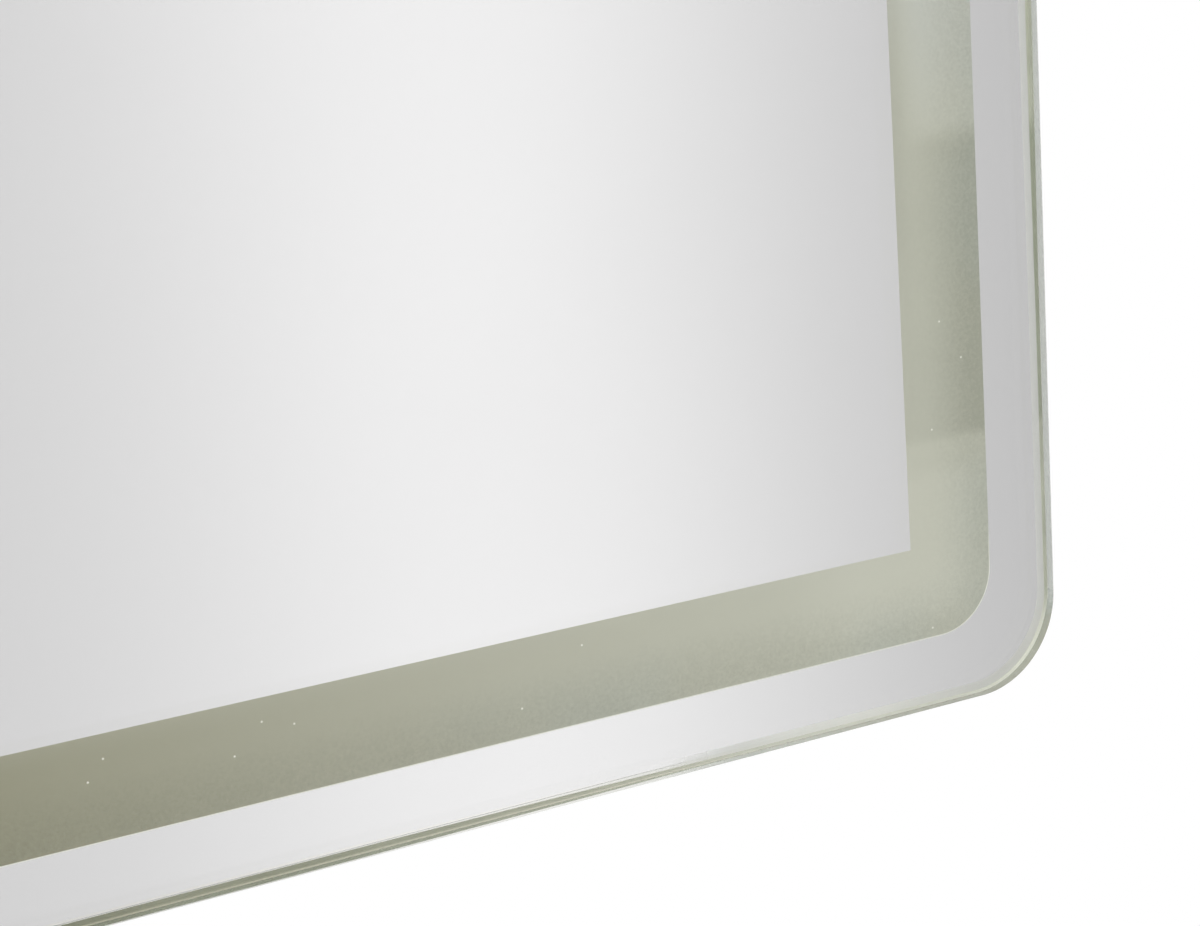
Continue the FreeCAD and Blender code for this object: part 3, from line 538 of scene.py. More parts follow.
def makeFrosted():
    material, graph = newMaterial("frostedGlass")
    look = bandLook
    across = graph.attribute("across")
    x, z = graph.place()
    grain = graph.noise(look["grainScale"], detail=3.0, roughness=0.7)
    cloud = graph.noise(look["cloudScale"], detail=3.0)
    bottomDim, sideDim = paintedShade(graph, across.span(look["leanShare"], 0.0))
    # painted shade: darker towards the outer edge and along the dark stretch of each side, with random clouds
    # and grain
    outerPart = across.span(look["outerFrom"], 1.0)
    shade = sideDim * (look["sideShade"] + outerPart * look["sideOuterShade"])
    shade = outerPart * look["outerShade"] + shade + (cloud - 0.5) * look["cloudShade"]
    shade = shade + (grain - 0.5) * (look["grainShade"] + outerPart * look["grainOuterShade"])
    tone = graph.mix(shade.held(), look["light"], look["dark"])
    # painted shade in the middle of the bottom
    tone = graph.dim(bottomDim, tone, look["bottomShade"])
    cool = graph.noise(look["coolScale"]).span(look["coolFrom"], look["coolTo"])
    tone = graph.dim(cool * outerPart, tone, look["cool"])
    # painted light above the dark stretch of each side
    low, high = paintedShadeLook["sideLow"], paintedShadeLook["sideHigh"]
    above = z.span(high + look["openFrom"], high + look["openTo"]) * (1 - sideDim)
    tone = graph.dim(above, tone, look["paintedLightAbove"])
    # painted shade along the inner edge beside the dark stretch
    inner = across.span(look["innerEnd"], 0.0) * z.span(low + look["innerRise"], high)
    tone = graph.dim(inner, tone, look["innerShade"])
    # painted light towards the lower corners
    corner = z.span(low + look["cornerTop"], low + look["cornerFull"])
    corner = corner * x.math("ABSOLUTE").span(look["cornerFrom"], look["cornerTo"])
    tone = graph.dim(corner * across.span(1.0, look["cornerEnd"]), tone, look["cornerPaintedLight"])
    # painted highlight along the outer edge of the bottom run
    edgeHighlight = across.span(look["highlightFrom"], look["highlightTo"])
    edgeHighlight = edgeHighlight * z.span(arch["bottom"] + look["highlightTop"], arch["bottom"] + look["highlightFull"])
    tone = graph.mix(edgeHighlight, tone, look["pale"])
    flat = graph.add("ShaderNodeCombineXYZ", None, {0: x, 1: z})
    dots = {"Vector": flat, "Scale": look["speckScale"]}
    dots = graph.add("ShaderNodeTexVoronoi", {"voronoi_dimensions": "2D"}, dots)
    speck = 1 - dots.span(look["speckCore"], look["speckEdge"])
    sparse = graph.noise(look["sparseScale"]).span(look["sparseFrom"], look["sparseTo"])
    tone = graph.mix(speck * sparse, tone, look["pale"])
    graph.finish(Base_Color=tone, Roughness=look["roughness"] + grain * look["roughnessChange"],
                 Normal=graph.bump(grain, look["relief"], look["reliefDepth"]))
    return material


silver = makeSilver()
frosted = makeFrosted()


def makeLayer(name, node, outer, inner, material):
    low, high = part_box(node)
    build = bmesh.new()
    across = build.verts.layers.float.new("across")  # 0 at the inner edge, 1 at the outer
    loops = [addLoop(build, points, depth) for points, depth in (
        (outer, low[1]), (inner, low[1]), (inner, high[1]), (outer, high[1]))]
    for loop, value in zip(loops, (1.0, 0.0, 0.0, 1.0)):
        for vertex in loop:
            vertex[across] = value
    for first, second in zip(loops, loops[1:] + loops[:1]):
        bridge(build, first, second)
    mesh = closeMesh(name, build, [material])
    addPiece(name, mesh, "mirror", [node])


makeGlassPane()
bandOuter = archLoop(bandLook["border"], bandLook["corner"])
bandInner = archLoop(bandLook["border"] + bandLook["width"], 0.0)
makeLayer("silverBorder", "silver_border", marginLoop(), bandOuter, silver)
makeLayer("lightBand", "frosted_band", bandOuter, bandInner, frosted)


# finishes of the sheet metal, plastics and rubber

plainBase = {
    "stretch": (1, 1, 1),
    "cloud": 40.0,
    "cloudFrom": 0.3,
    "cloudTo": 0.7,
    "grain": 900.0,
    "metal": 0.0,
    "gloss": 0.5,
    "glossChange": 0.15,
    "relief": 0.15,
    "reliefDepth": 0.0001,
}


def makePlain(name, own):
    # two tones in clouds, with a fine grain in the gloss and the bump
    material, graph = newMaterial(name)
    look = {**plainBase, **own}
    cloud = graph.noise(look["cloud"], look["stretch"], detail=4.0)
    grain = graph.noise(look["grain"], look["stretch"])
    tone = graph.mix(cloud.span(look["cloudFrom"], look["cloudTo"]), look["first"], look["second"])
    gloss = look["gloss"] + (grain - 0.5) * look["glossChange"]
    relief = graph.bump(grain, look["relief"], look["reliefDepth"])
    graph.finish(Base_Color=tone, Metallic=look["metal"], Roughness=gloss, Normal=relief)
    return material


zincLook = {
    "crystals": 130.0,  # to the metre
    "wander": 0.007,  # wavy edges of the crystals
    "waves": 240.0,
    "feathers": 1100.0,
    "stains": 5.0,
    "stainFrom": 0.3,
    "stainTo": 0.7,
    "crystalShare": 0.40,
    "featherShare": 0.55,
    "stainShare": 0.35,
    "light": rgb(186, 190, 193),
    "dark": rgb(158, 163, 167),
    "seam": rgb(140, 145, 150),
    "seamWidth": 0.03,
    "seamShare": 0.15,
    "metal": 0.65,
    "roughness": 0.42,
    "crystalRoughness": 0.12,
    "featherRoughness": 0.06,
    "relief": 0.10,
    "reliefDepth": 0.0001,
}
zincShifts = {
    "galvanised": (0, 0, 0),
    "galvanisedHatch": (0.31, 0.05, 0.17),
    "galvanisedBox": (0.13, 0.21, 0.40),
}


def makeGalvanised(name, shift):
    # zinc crystals, each with its own tone and gloss
    material, graph = newMaterial(name)
    look = zincLook
    base = graph.coords(shift=shift)
    waves = {"Vector": base, "Scale": look["waves"], "Detail": 2.0}
    wave = graph.add("ShaderNodeTexNoise", None, waves, out="Color")
    reach = (look["wander"],) * 3
    moved = graph.add("ShaderNodeVectorMath", {"operation": "MULTIPLY_ADD"}, {0: wave, 1: reach, 2: base})
    place = {"Vector": moved, "Scale": look["crystals"]}
    colour = graph.add("ShaderNodeTexVoronoi", None, place, out="Color")
    crystal, spin = [graph.add("ShaderNodeSeparateColor", None, {0: colour}, out=k) for k in (0, 1)]
    edge = graph.add("ShaderNodeTexVoronoi", {"feature": "DISTANCE_TO_EDGE"}, place)
    x, z = graph.parts(moved)[::2]
    turn = spin * math.tau
    line = x * turn.math("COSINE") + z * turn.math("SINE")
    strands = {"W": line, "Scale": look["feathers"], "Detail": 3.0}
    feather = graph.add("ShaderNodeTexNoise", {"noise_dimensions": "1D"}, strands)
    stain = graph.noise(look["stains"], detail=4.0).span(look["stainFrom"], look["stainTo"])
    level = crystal * look["crystalShare"] + (feather - 0.5) * look["featherShare"]
    level = level + stain * look["stainShare"]
    tone = graph.mix(level.held(), look["dark"], look["light"])
    seam = (1 - edge.span(0.0, look["seamWidth"])) * look["seamShare"]
    tone = graph.mix(seam, tone, look["seam"])
    gloss = look["roughness"] + crystal * look["crystalRoughness"] + feather * look["featherRoughness"]
    graph.finish(Base_Color=tone, Metallic=look["metal"], Roughness=gloss,
                 Normal=graph.bump(feather, look["relief"], look["reliefDepth"]))
    return material


boardLook = {
    "runs": 60.0,
    "gap": 0.06,
    "gapBlur": 0.1,
    "runShare": 0.6,
    "pads": 260.0,
    "padCore": 0.16,
    "padEdge": 0.22,
    "padShare": 0.8,
    "weave": 1500.0,
    "weaveRelief": 0.1,
    "roughness": 0.35,
    "roughnessChange": 0.2,
    "relief": 0.2,
    "reliefDepth": 0.0001,
}
boardTones = {
    "circuitBoard": (rgb(36, 104, 62), rgb(58, 130, 82), rgb(206, 190, 140)),
    "stripBoard": (rgb(236, 236, 230), rgb(220, 216, 200), rgb(206, 176, 110)),
}


def makeBoard(name, base, track, pad):
    # solder mask with copper runs under it and bright pads
    material, graph = newMaterial(name)
    look = boardLook
    place = graph.coords()
    blocks = {"Vector": place, "Scale": look["runs"],
              "Mortar Size": look["gap"], "Mortar Smooth": look["gapBlur"]}
    run = graph.add("ShaderNodeTexBrick", {"offset": 0.5}, blocks, out="Fac")
    pads = graph.add("ShaderNodeTexVoronoi", None, {"Vector": place, "Scale": look["pads"]})
    dot = 1 - pads.span(look["padCore"], look["padEdge"])
    weave = graph.noise(look["weave"])
    tone = graph.mix(run * look["runShare"], base, track)
    tone = graph.mix(dot * look["padShare"], tone, pad)
    relief = graph.bump(run + weave * look["weaveRelief"], look["relief"], look["reliefDepth"])
    gloss = look["roughness"] + weave * look["roughnessChange"]
    graph.finish(Base_Color=tone, Roughness=gloss, Normal=relief)
    return material


heaterLook = {
    "foil": rgb(196, 186, 160),
    "track": rgb(150, 128, 92),
    "tracks": 34.0,
    "trackFrom": 0.45,
    "trackTo": 0.60,
    "trackRelief": 0.3,
    "creases": 55.0,
    "metal": 0.25,
    "roughness": 0.3,
    "roughnessChange": 0.3,
    "relief": 0.3,
    "reliefDepth": 0.0004,
}


def makeHeaterFilm():
    # foil film with a heating track that runs to and fro
    material, graph = newMaterial("heaterFilm")
    look = heaterLook
    waves = {"Vector": graph.coords(), "Scale": look["tracks"], "Distortion": 0.0}
    track = graph.add("ShaderNodeTexWave", {"bands_direction": "Z"}, waves, out="Fac")
    crease = graph.noise(look["creases"], detail=4.0)
    tone = graph.mix(track.span(look["trackFrom"], look["trackTo"]), look["foil"], look["track"])
    relief = graph.bump(crease + track * look["trackRelief"], look["relief"], look["reliefDepth"])
    gloss = look["roughness"] + crease * look["roughnessChange"]
    graph.finish(Base_Color=tone, Metallic=look["metal"], Roughness=gloss, Normal=relief)
    return material


plainLooks = {
    "aluminium": {
        "first": rgb(205, 207, 209), "second": rgb(190, 192, 195), "metal": 0.9, "gloss": 0.38,
        "stretch": (1, 40, 1), "cloud": 6.0, "grain": 70.0, "glossChange": 0.22, "relief": 0.10},
    "railAluminium": {
        "first": rgb(200, 202, 204), "second": rgb(184, 186, 189), "metal": 0.9, "gloss": 0.40,
        "stretch": (1, 40, 40), "cloud": 5.0, "grain": 60.0, "glossChange": 0.22, "relief": 0.10},
    "rivetMetal": {"first": rgb(196, 198, 200), "second": rgb(172, 174, 177), "metal": 0.95, "gloss": 0.33},
    "zincSteel": {
        "first": rgb(198, 200, 204), "second": rgb(184, 182, 168), "metal": 0.95, "gloss": 0.30,
        "cloud": 260.0, "grain": 2500.0},
    "foamTape": {
        "first": rgb(232, 232, 228), "second": rgb(214, 214, 208), "gloss": 0.85,
        "grain": 1600.0, "relief": 0.5},
    "gasketRubber": {
        "first": rgb(46, 46, 47), "second": rgb(34, 34, 35), "gloss": 0.7, "grain": 1400.0, "relief": 0.4},
    "blackRubber": {
        "first": rgb(40, 40, 41), "second": rgb(26, 26, 27), "gloss": 0.6, "grain": 1800.0, "relief": 0.35},
    "whitePlastic": {
        "first": rgb(234, 234, 231), "second": rgb(224, 224, 219), "gloss": 0.45,
        "grain": 2200.0, "relief": 0.25},
    "terminalPlastic": {
        "first": rgb(226, 226, 218), "second": rgb(212, 212, 200), "gloss": 0.4, "grain": 2200.0},
    "brass": {
        "first": rgb(200, 170, 96), "second": rgb(176, 142, 72), "metal": 0.95, "gloss": 0.32,
        "cloud": 300.0},
    "whiteLead": {"first": rgb(230, 230, 226), "second": rgb(216, 216, 210), "gloss": 0.42, "grain": 1500.0},
    "redLead": {"first": rgb(176, 32, 30), "second": rgb(150, 22, 24), "gloss": 0.42, "grain": 1500.0},
    "earthSleeve": {
        "first": rgb(70, 150, 58), "second": rgb(208, 190, 48), "gloss": 0.42, "cloud": 120.0,
        "stretch": (1, 4, 4), "grain": 1500.0},
    "phosphor": {"first": rgb(240, 214, 96), "second": rgb(226, 190, 66), "gloss": 0.5, "grain": 5000.0},
    "chipCase": {"first": rgb(240, 240, 236), "second": rgb(226, 226, 220), "gloss": 0.45, "grain": 3000.0},
}
finishes = {name: makePlain(name, look) for name, look in plainLooks.items()}
for zincName, zincShift in zincShifts.items():
    finishes[zincName] = makeGalvanised(zincName, zincShift)
for boardName, tones in boardTones.items():
    finishes[boardName] = makeBoard(boardName, *tones)
finishes["heaterFilm"] = makeHeaterFilm()
finishes["silver"] = silver
finishes["frosted"] = frosted

nodeFinishes = {
    "silver": ["silver_centre"],
    "frosted": ["touch_ring"],
    "foamTape": ["glazing_tape", "touch_sensor_pad"],
    "aluminium": ["splice_plate"],
    "railAluminium": ["wall_rail", "hanging_rail"],
    "gasketRubber": ["panel_gasket"],
    "galvanised": ["back_panel"],
    "galvanisedHatch": ["wiring_hatch"],
    "galvanisedBox": ["wiring_box"],
    "stripBoard": ["led_strip"],
    "whitePlastic": ["driver_case", "driver_lid", "cable_clips"],
    "circuitBoard": ["driver_board", "touch_sensor_board"],
    "blackRubber": ["lead_bushings", "cable_grommet", "bumpers"],
    "terminalPlastic": ["terminal_block"],
    "brass": ["terminal_screws", "earth_lug", "earth_screw"],
    "whiteLead": ["supply_lead", "sensor_lead", "demister_lead"],
    "redLead": ["strip_lead"],
    "earthSleeve": ["earth_lead"],
    "heaterFilm": ["demister_pad"],
}
for finishName, nodeNames in nodeFinishes.items():
    for nodeName in nodeNames:
        nodes[nodeName].material_slots[0].material = finishes[finishName]
print("finishes on the CAD nodes")


# bent aluminium frame behind the glass, open at the joint in the middle of the bottom

frameLook = {
    "frontInset": 0.004,
    "wallInset": 0.008,
    "wall": 0.0015,
    "rearInset": 0.022,
    "edge": 0.0003,  # broken edge of the section
    "gap": 0.0002,  # half of the joint
}


def makeFrame():
    low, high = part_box("frame")
    front, rear = low[1], high[1]
    wall, edge = frameLook["wall"], frameLook["edge"]
    outside, inside = frameLook["wallInset"], frameLook["wallInset"] + wall
    corners = [(frameLook["frontInset"], front), (inside, front), (inside, rear - wall),
               (frameLook["rearInset"], rear - wall), (frameLook["rearInset"], rear), (outside, rear),
               (outside, front + wall), (frameLook["frontInset"], front + wall)]
    section = []
    for k, corner in enumerate(corners):
        here = Vector(corner)
        for other in (corners[k - 1], corners[(k + 1) % len(corners)]):
            section.append(here + (Vector(other) - here).normalized() * edge)
    build = bmesh.new()
    loops = [addLoop(build, archLoop(inset, gap=frameLook["gap"]), depth) for inset, depth in section]
    for first, second in zip(loops, loops[1:] + loops[:1]):
        bridge(build, first, second, closed=False)
    for end in (0, -1):
        build.faces.new([loop[end] for loop in loops])
    mesh = closeMesh("archFrame", build, [finishes["aluminium"]])
    addPiece("archFrame", mesh, "mirror", ["frame"])


makeFrame()


# screws and rivets: a turned profile with a thread and a cross recess, set at every CAD place

turnedLook = {
    "stops": (0.00, 0.34, 0.42, 0.48, 0.86, 0.93, 1.00),  # ends of crown, side, underside, shank, tail, tip
    "crownShare": 0.5,  # of the head's height
    "crownRound": 0.7,
    "crownFall": 0.6,
    "shankShare": 0.90,  # of the length under the head
    "tailShare": 0.04,
    "tipShare": 0.06,
    "threadFrom": 0.06,
    "threadTo": 0.12,
    "weld": 1e-6,
    "reach": 0.012,  # points of one body lie within it
}


def groupBoxes(nodeName, reach):
    # boxes of the separate bodies in a CAD node, by closeness of their points
    groups = []
    for vertex in nodes[nodeName].data.vertices:
        for group in groups:
            if (group[0] - vertex.co).length < reach:
                group[1].append(vertex.co.copy())
                break
        else:
            groups.append((vertex.co.copy(), [vertex.co.copy()]))
    boxes = []
    for first, points in groups:
        low = Vector([min(p[axis] for p in points) for axis in range(3)])
        high = Vector([max(p[axis] for p in points) for axis in range(3)])
        boxes.append((low, high))
    return boxes


def newTree(name, inputs):
    # geometry tree with named inputs
    tree = bpy.data.node_groups.new(name, "GeometryNodeTree")
    tree.interface.new_socket("Geometry", in_out="INPUT", socket_type="NodeSocketGeometry")
    for inputName, kind in inputs.items():
        tree.interface.new_socket(inputName, in_out="INPUT", socket_type="NodeSocket" + kind)
    tree.interface.new_socket("Geometry", in_out="OUTPUT", socket_type="NodeSocketGeometry")
    graph = Graph(tree)
    values = {inputName: graph.add("NodeGroupInput", out=inputName) for inputName in ("Geometry", *inputs)}
    return tree, graph, values


def placeAndFinish(graph, values, template):
    # template at every point, turned as the point says, then made real
    turn = graph.add("GeometryNodeInputNamedAttribute", {"data_type": "FLOAT_VECTOR"}, {"Name": "turn"})
    rotation = graph.add("FunctionNodeEulerToRotation", None, {0: turn})
    placed = graph.add("GeometryNodeInstanceOnPoints", None, {
        "Points": values["Geometry"], "Instance": template, "Rotation": rotation})
    return graph.add("GeometryNodeRealizeInstances", None, {0: placed})


def makeTurnedTree():
    look = turnedLook
    tree, graph, values = newTree("turnedFastener", {
        "Around": "Int", "Along": "Int", "Head Radius": "Float", "Head Height": "Float",
        "Shank Radius": "Float", "Shank Length": "Float", "Thread Depth": "Float", "Thread Pitch": "Float",
        "Recess Depth": "Float", "Recess Width": "Float", "Recess Reach": "Float", "Tail Radius": "Float",
        "Bore Radius": "Float", "Material": "Material"})
    grid = graph.add("GeometryNodeMeshGrid", None, {
        "Size X": 1.0, "Size Y": 1.0, "Vertices X": values["Around"], "Vertices Y": values["Along"]})
    across, along = graph.parts(graph.add("GeometryNodeInputPosition"))[:2]
    angle = (across + 0.5) * math.tau
    step = along + 0.5
    stops = look["stops"]
    spans = [step.span(start, end, "LINEAR") for start, end in zip(stops, stops[1:])]
    crown, side, under, shank, tail, tip = spans
    swell = crown * math.pi / 2
    headRadius = values["Head Radius"] * (swell.math("SINE") ** look["crownRound"])
    shankRadius = values["Shank Radius"] * (1 - tail) + values["Tail Radius"] * tail
    depth = shank * look["shankShare"] + tail * look["tailShare"] + tip * look["tipShare"]
    depth = values["Shank Length"] * depth
    fall = swell.math("COSINE").math("MAXIMUM", 0) ** look["crownFall"]
    crownRise = values["Head Height"] * (1 - look["crownShare"] + look["crownShare"] * fall)
    height = crownRise - values["Head Height"] * look["crownShare"] * side - depth
    ripple = ((depth / values["Thread Pitch"] + across).math("FRACT") - 0.5).math("ABSOLUTE") * 2
    onShank = shank.span(look["threadFrom"], look["threadTo"]) * (1 - tail)
    radius = headRadius * (1 - under) + shankRadius * under * (1 - tip)
    radius = radius - values["Thread Depth"] * ripple * onShank
    x = radius * angle.math("COSINE")
    z = radius * angle.math("SINE")
    width, reach = values["Recess Width"], values["Recess Reach"]
    arms = []
    for first, second in ((x, z), (z, x)):
        narrow = first.math("ABSOLUTE").math("LESS_THAN", width)
        arms.append(narrow * second.math("ABSOLUTE").math("LESS_THAN", reach))
    bore = radius.math("LESS_THAN", values["Bore Radius"])
    cut = arms[0].math("MAXIMUM", arms[1]).math("MAXIMUM", bore) * (1 - side.math("CEIL"))
    height = height - values["Recess Depth"] * cut
    place = graph.add("ShaderNodeCombineXYZ", None, {0: x, 1: z, 2: height})
    shaped = graph.add("GeometryNodeSetPosition", None, {"Geometry": grid, "Position": place})
    merged = graph.add("GeometryNodeMergeByDistance", None, {0: shaped, "Distance": look["weld"]})
    outward = graph.add("GeometryNodeFlipFaces", None, {0: merged})
    smooth = graph.add("GeometryNodeSetShadeSmooth", None, {0: outward})
    real = placeAndFinish(graph, values, smooth)
    done = graph.add("GeometryNodeSetMaterial", None, {"Geometry": real, "Material": values["Material"]})
    graph.add("NodeGroupOutput", None, {"Geometry": done})
    return tree


def runTree(name, tree, points, turns, settings, node):
    mesh = bpy.data.meshes.new(name + "Points")
    mesh.from_pydata(points, [], [])
    attribute = mesh.attributes.new("turn", "FLOAT_VECTOR", "POINT")
    for k, turn in enumerate(turns):
        attribute.data[k].vector = turn
    holder = bpy.data.objects.new(name + "Points", mesh)
    bpy.context.scene.collection.objects.link(holder)
    modifier = holder.modifiers.new("tree", "NODES")
    modifier.node_group = tree
    for item in tree.interface.items_tree:
        if item.in_out == "INPUT" and item.name in settings:
            modifier[item.identifier] = settings[item.name]
    result = bpy.data.meshes.new_from_object(holder.evaluated_get(bpy.context.evaluated_depsgraph_get()))
    result.name = name
    result.set_sharp_from_angle(angle=math.radians(meshLook["treeSharpAngle"]))
    holder.modifiers.remove(modifier)
    bpy.data.objects.remove(holder)
    addPiece(name, result, "mirror", [node])


screwLook = {
    "Around": 41, "Along": 66, "Head Radius": 0.003, "Head Height": 0.002, "Shank Radius": 0.0015,
    "Thread Depth": 0.0003, "Thread Pitch": 0.0011, "Recess Depth": 0.0011, "Recess Width": 0.00046,
    "Recess Reach": 0.0017, "Tail Radius": 0.0012, "Bore Radius": 0.0, "spin": 0.9}
rivetLook = {
    "Around": 41, "Along": 56, "Head Radius": 0.0032, "Head Height": 0.001, "Shank Radius": 0.0016,
    "Thread Depth": 0.0, "Thread Pitch": 0.001, "Recess Depth": 0.0007, "Recess Width": 0.0,
    "Recess Reach": 0.0, "Tail Radius": 0.0022, "Bore Radius": 0.0009, "spin": 0.0}
fastenerRows = [
    ("panelScrews", "panel_screws", screwLook, "zincSteel", "zinc_steel"),
    ("hatchScrews", "hatch_screws", screwLook, "zincSteel", "zinc_steel"),
    ("driverScrews", "driver_screws", screwLook, "zincSteel", "zinc_steel"),
    ("railRivets", "rail_rivets", rivetLook, "rivetMetal", "rivet_metal"),
    ("spliceRivets", "splice_rivets", rivetLook, "rivetMetal", "rivet_metal"),
]


def makeFasteners():
    tree = makeTurnedTree()
    for name, node, look, finish, slotName in fastenerRows:
        boxes = groupBoxes(node, turnedLook["reach"])
        headsDown = node == "splice_rivets"  # the other heads point to the back
        axis = 2 if headsDown else 1
        head = look["Head Height"]
        points, turns = [], []
        for low, high in boxes:
            point = (low + high) / 2
            point[axis] = low[axis] + head if headsDown else high[axis] - head
            turn = look["spin"] * len(points)
            turns.append((math.pi, 0.0, 0.0) if headsDown else (-math.pi / 2, turn, 0.0))
            points.append(tuple(point))
        length = boxes[0][1][axis] - boxes[0][0][axis] - head
        settings = dict(look, **{"Shank Length": length, "Material": finishes[finish]})
        runTree(name, tree, points, turns, settings, node)


makeFasteners()


# light chips on the strip, each a case with a dome of phosphor

chipLook = {
    "length": 0.0035,
    "width": 0.0028,
    "height": 0.0008,
    "wellShare": 0.78,
    "caseShare": 0.9,  # of the height
    "domeTop": 0.42,  # radius, as a share of the well
    "domeFoot": 0.5,
    "domeSides": 12,
    "reach": 0.006,
    "sideZone": 0.015,  # chips this near the side face inwards
}


def makeChips():
    tree, graph, values = newTree("lightChip", {
        "Length": "Float", "Width": "Float", "Height": "Float", "Well Share": "Float",
        "Case Material": "Material", "Phosphor Material": "Material"})
    look = chipLook
    length, width, height = values["Length"], values["Width"], values["Height"]
    well = width * values["Well Share"]
    size = graph.add("ShaderNodeCombineXYZ", None, {0: length, 1: width, 2: height * look["caseShare"]})
    case = graph.add("GeometryNodeMeshCube", None, {"Size": size})
    case = graph.add("GeometryNodeSetMaterial", None, {"Geometry": case, "Material": values["Case Material"]})
    dome = graph.add("GeometryNodeMeshCone", None, {
        "Vertices": look["domeSides"], "Radius Top": well * look["domeTop"],
        "Radius Bottom": well * look["domeFoot"], "Depth": height * (1 - look["caseShare"])})
    lift = graph.add("ShaderNodeCombineXYZ", None, {2: height * (look["caseShare"] / 2)})
    dome = graph.add("GeometryNodeTransform", None, {"Geometry": dome, "Translation": lift})
    phosphor = values["Phosphor Material"]
    dome = graph.add("GeometryNodeSetMaterial", None, {"Geometry": dome, "Material": phosphor})
    chip = graph.add("GeometryNodeJoinGeometry", None, {0: [dome, case]})
    real = placeAndFinish(graph, values, chip)
    graph.add("NodeGroupOutput", None, {"Geometry": real})
    points, turns = [], []
    for low, high in groupBoxes("led_chips", look["reach"]):
        middle = (low + high) / 2
        if middle[2] > arch["spring"]:
            aim = Vector((-middle[0], 0, arch["spring"] - middle[2]))
        elif abs(middle[0]) > arch["halfWidth"] - look["sideZone"]:
            aim = Vector((-middle[0], 0, 0))
        else:
            aim = Vector((0, 0, 1))
        points.append(tuple(middle))
        turns.append((0.0, math.atan2(aim[0], aim[2]), 0.0))
    settings = {"Length": look["length"], "Width": look["width"], "Height": look["height"],
                "Well Share": look["wellShare"], "Case Material": finishes["chipCase"],
                "Phosphor Material": finishes["phosphor"]}
    runTree("lightChips", tree, points, turns, settings, "led_chips")
    print("chips:", len(points))


makeChips()


# stage: pale floor at hanging height, soft light, white behind

stageLook = {
    "floorDrop": 1.05,
    "floorRadius": 1.9,
    "floorFade": 1.1,
    "floorCloud": 40.0,
    "floorTone": (0.86, 0.86, 0.86, 1),
    "floorLight": (0.90, 0.90, 0.90, 1),
    "lampAim": (0, 0, -0.2),
    "glowTurn": 24.67,  # soft backdrop that the mirror shows, in degrees
    "glowWidth": 9.54,
    "glowPeak": 0.3485,
    "glowBase": 0.588,
    "glowSwing": 0.1576,
    "swingFrom": 20.0,
    "swingTo": 50.0,
    "openFrom": 60.0,
    "openTo": 90.0,
    "openLevel": 1.0,
    "frontCeiling": 1.0,
    "riseFrom": 0.55,  # height of the direction of the light
    "riseTo": 0.95,
    "behindLevel": 0.42,
    "behindCeiling": 1.1,
    "ceilingFrom": 0.05,
    "ceilingTo": 0.45,
    "behindFrom": -0.1,
    "behindTo": 0.4,
}


def makeWorld():
    world = bpy.data.worlds.new("studio")
    world.use_nodes = True
    world.node_tree.nodes.clear()
    graph = Graph(world.node_tree)
    look = stageLook
    x, y, z = graph.parts(graph.add("ShaderNodeTexCoord", out="Generated"))
    turn = x.math("ARCTAN2", y * -1) - math.radians(look["glowTurn"])
    lobe = turn / math.radians(look["glowWidth"])
    glow = (lobe * lobe * -1).math("EXPONENT") * look["glowPeak"] + look["glowBase"]
    aside = turn.math("COSINE").math("ARCCOSINE")  # turn away from the glow, on either side
    swing = aside.span(math.radians(look["swingTo"]), math.radians(look["swingFrom"]))
    glow = glow - (turn * 2).math("SINE") * swing * look["glowSwing"]
    wide = aside.span(math.radians(look["openFrom"]), math.radians(look["openTo"]))
    glow = glow * (1 - wide) + wide * look["openLevel"]
    above = z.span(look["riseFrom"], look["riseTo"])
    glow = glow * (1 - above) + above * look["frontCeiling"]
    rear = look["behindLevel"]
    rear = rear + z.span(look["ceilingFrom"], look["ceilingTo"]) * (look["behindCeiling"] - rear)
    behind = y.span(look["behindFrom"], look["behindTo"])
    level = glow * (1 - behind) + behind * rear
    seen = graph.add("ShaderNodeLightPath", out="Is Camera Ray")
    level = level * (1 - seen) + seen
    shade = graph.add("ShaderNodeCombineColor", None, {0: level, 1: level, 2: level})
    light = graph.add("ShaderNodeBackground", None, {"Color": shade, "Strength": 1.0})
    graph.add("ShaderNodeOutputWorld", None, {"Surface": light})
    bpy.context.scene.world = world


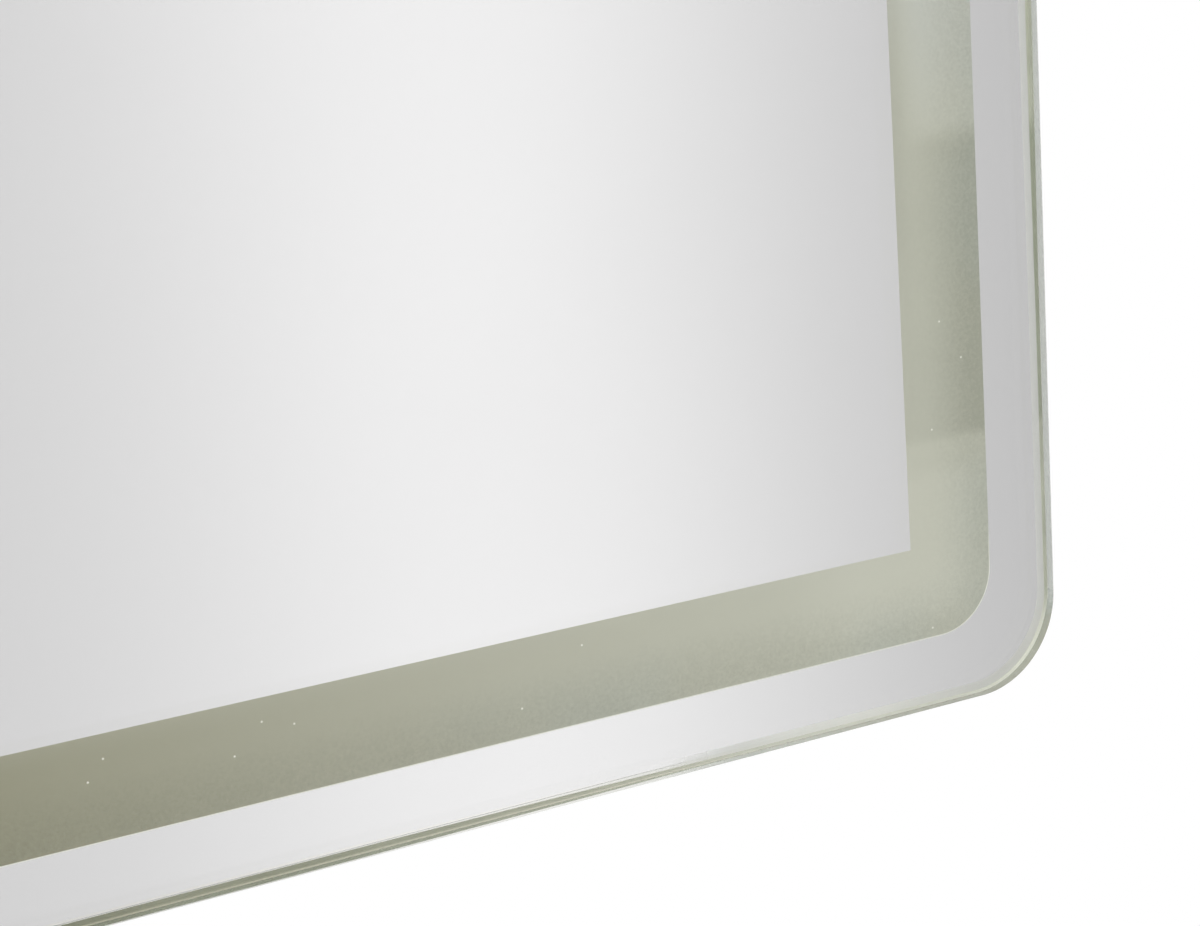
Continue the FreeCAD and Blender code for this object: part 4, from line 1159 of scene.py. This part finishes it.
def makeFloor():
    material, graph = newMaterial("paleFloor")
    x, y = graph.parts(graph.add("ShaderNodeTexCoord", out="Object"))[:2]
    reach = (x * x + y * y).math("SQRT")
    tone = graph.mix(graph.noise(stageLook["floorCloud"]), stageLook["floorTone"], stageLook["floorLight"])
    lit = graph.add("ShaderNodeBsdfDiffuse", None, {"Color": tone})
    clear = graph.add("ShaderNodeBsdfTransparent")
    fade = reach.span(stageLook["floorFade"], stageLook["floorRadius"])
    both = graph.add("ShaderNodeMixShader", None, {0: fade, 1: lit, 2: clear})
    graph.add("ShaderNodeOutputMaterial", None, {"Surface": both})
    half = stageLook["floorRadius"]
    height = arch["bottom"] - stageLook["floorDrop"]
    corners = [(-half, -half, height), (half, -half, height), (half, half, height), (-half, half, height)]
    mesh = bpy.data.meshes.new("floor")
    mesh.from_pydata(corners, [], [(0, 1, 2, 3)])
    mesh.materials.append(material)
    floor = bpy.data.objects.new("floor", mesh)
    bpy.context.scene.collection.objects.link(floor)


lampLooks = {
    "keyLamp": {"place": (-1.4, -1.8, 1.6), "size": 1.6, "power": 50.0, "mirrored": False},
    "fillLamp": {"place": (1.8, 1.6, 1.2), "size": 0.9, "power": 42.0, "mirrored": True},
}


def makeLamp(name, look):
    lamp = bpy.data.lights.new(name, "AREA")
    lamp.shape = "DISK"
    lamp.size = look["size"]
    lamp.energy = look["power"]
    holder = bpy.data.objects.new(name, lamp)
    holder.location = look["place"]
    towards = Vector(stageLook["lampAim"]) - Vector(look["place"])
    holder.rotation_euler = towards.to_track_quat("-Z", "Y").to_euler()
    holder.visible_camera = False
    holder.visible_glossy = look["mirrored"]
    holder.visible_transmission = look["mirrored"]
    bpy.context.scene.collection.objects.link(holder)


cameraView = {
    "place": (-0.00744, -0.43380, -0.50607),
    "right": (0.88200, -0.46573, -0.07183),
    "up": (0.17146, 0.17517, 0.96949),
    "back": (-0.43894, -0.86741, 0.23435),
    "focalPixels": 2391.84,
    "imageWidth": 1200,
    "sensorWidth": 36.0,
    "clipStart": 0.01,
    "clipEnd": 50.0,
}


def makeCamera():
    data = bpy.data.cameras.new("photoView")
    data.sensor_width = cameraView["sensorWidth"]
    data.lens = cameraView["focalPixels"] * data.sensor_width / cameraView["imageWidth"]
    data.clip_start = cameraView["clipStart"]
    data.clip_end = cameraView["clipEnd"]
    camera = bpy.data.objects.new("photoView", data)
    axes = [Vector(cameraView[key]) for key in ("right", "up", "back")]
    camera.matrix_world = Matrix.Translation(cameraView["place"]) @ Matrix(axes).transposed().to_4x4()
    bpy.context.scene.collection.objects.link(camera)
    bpy.context.scene.camera = camera


makeWorld()
makeFloor()
for lampName, lampLook in lampLooks.items():
    makeLamp(lampName, lampLook)
makeCamera()
bpy.context.scene.view_settings.view_transform = "Standard"
print("stage, lights and camera made")
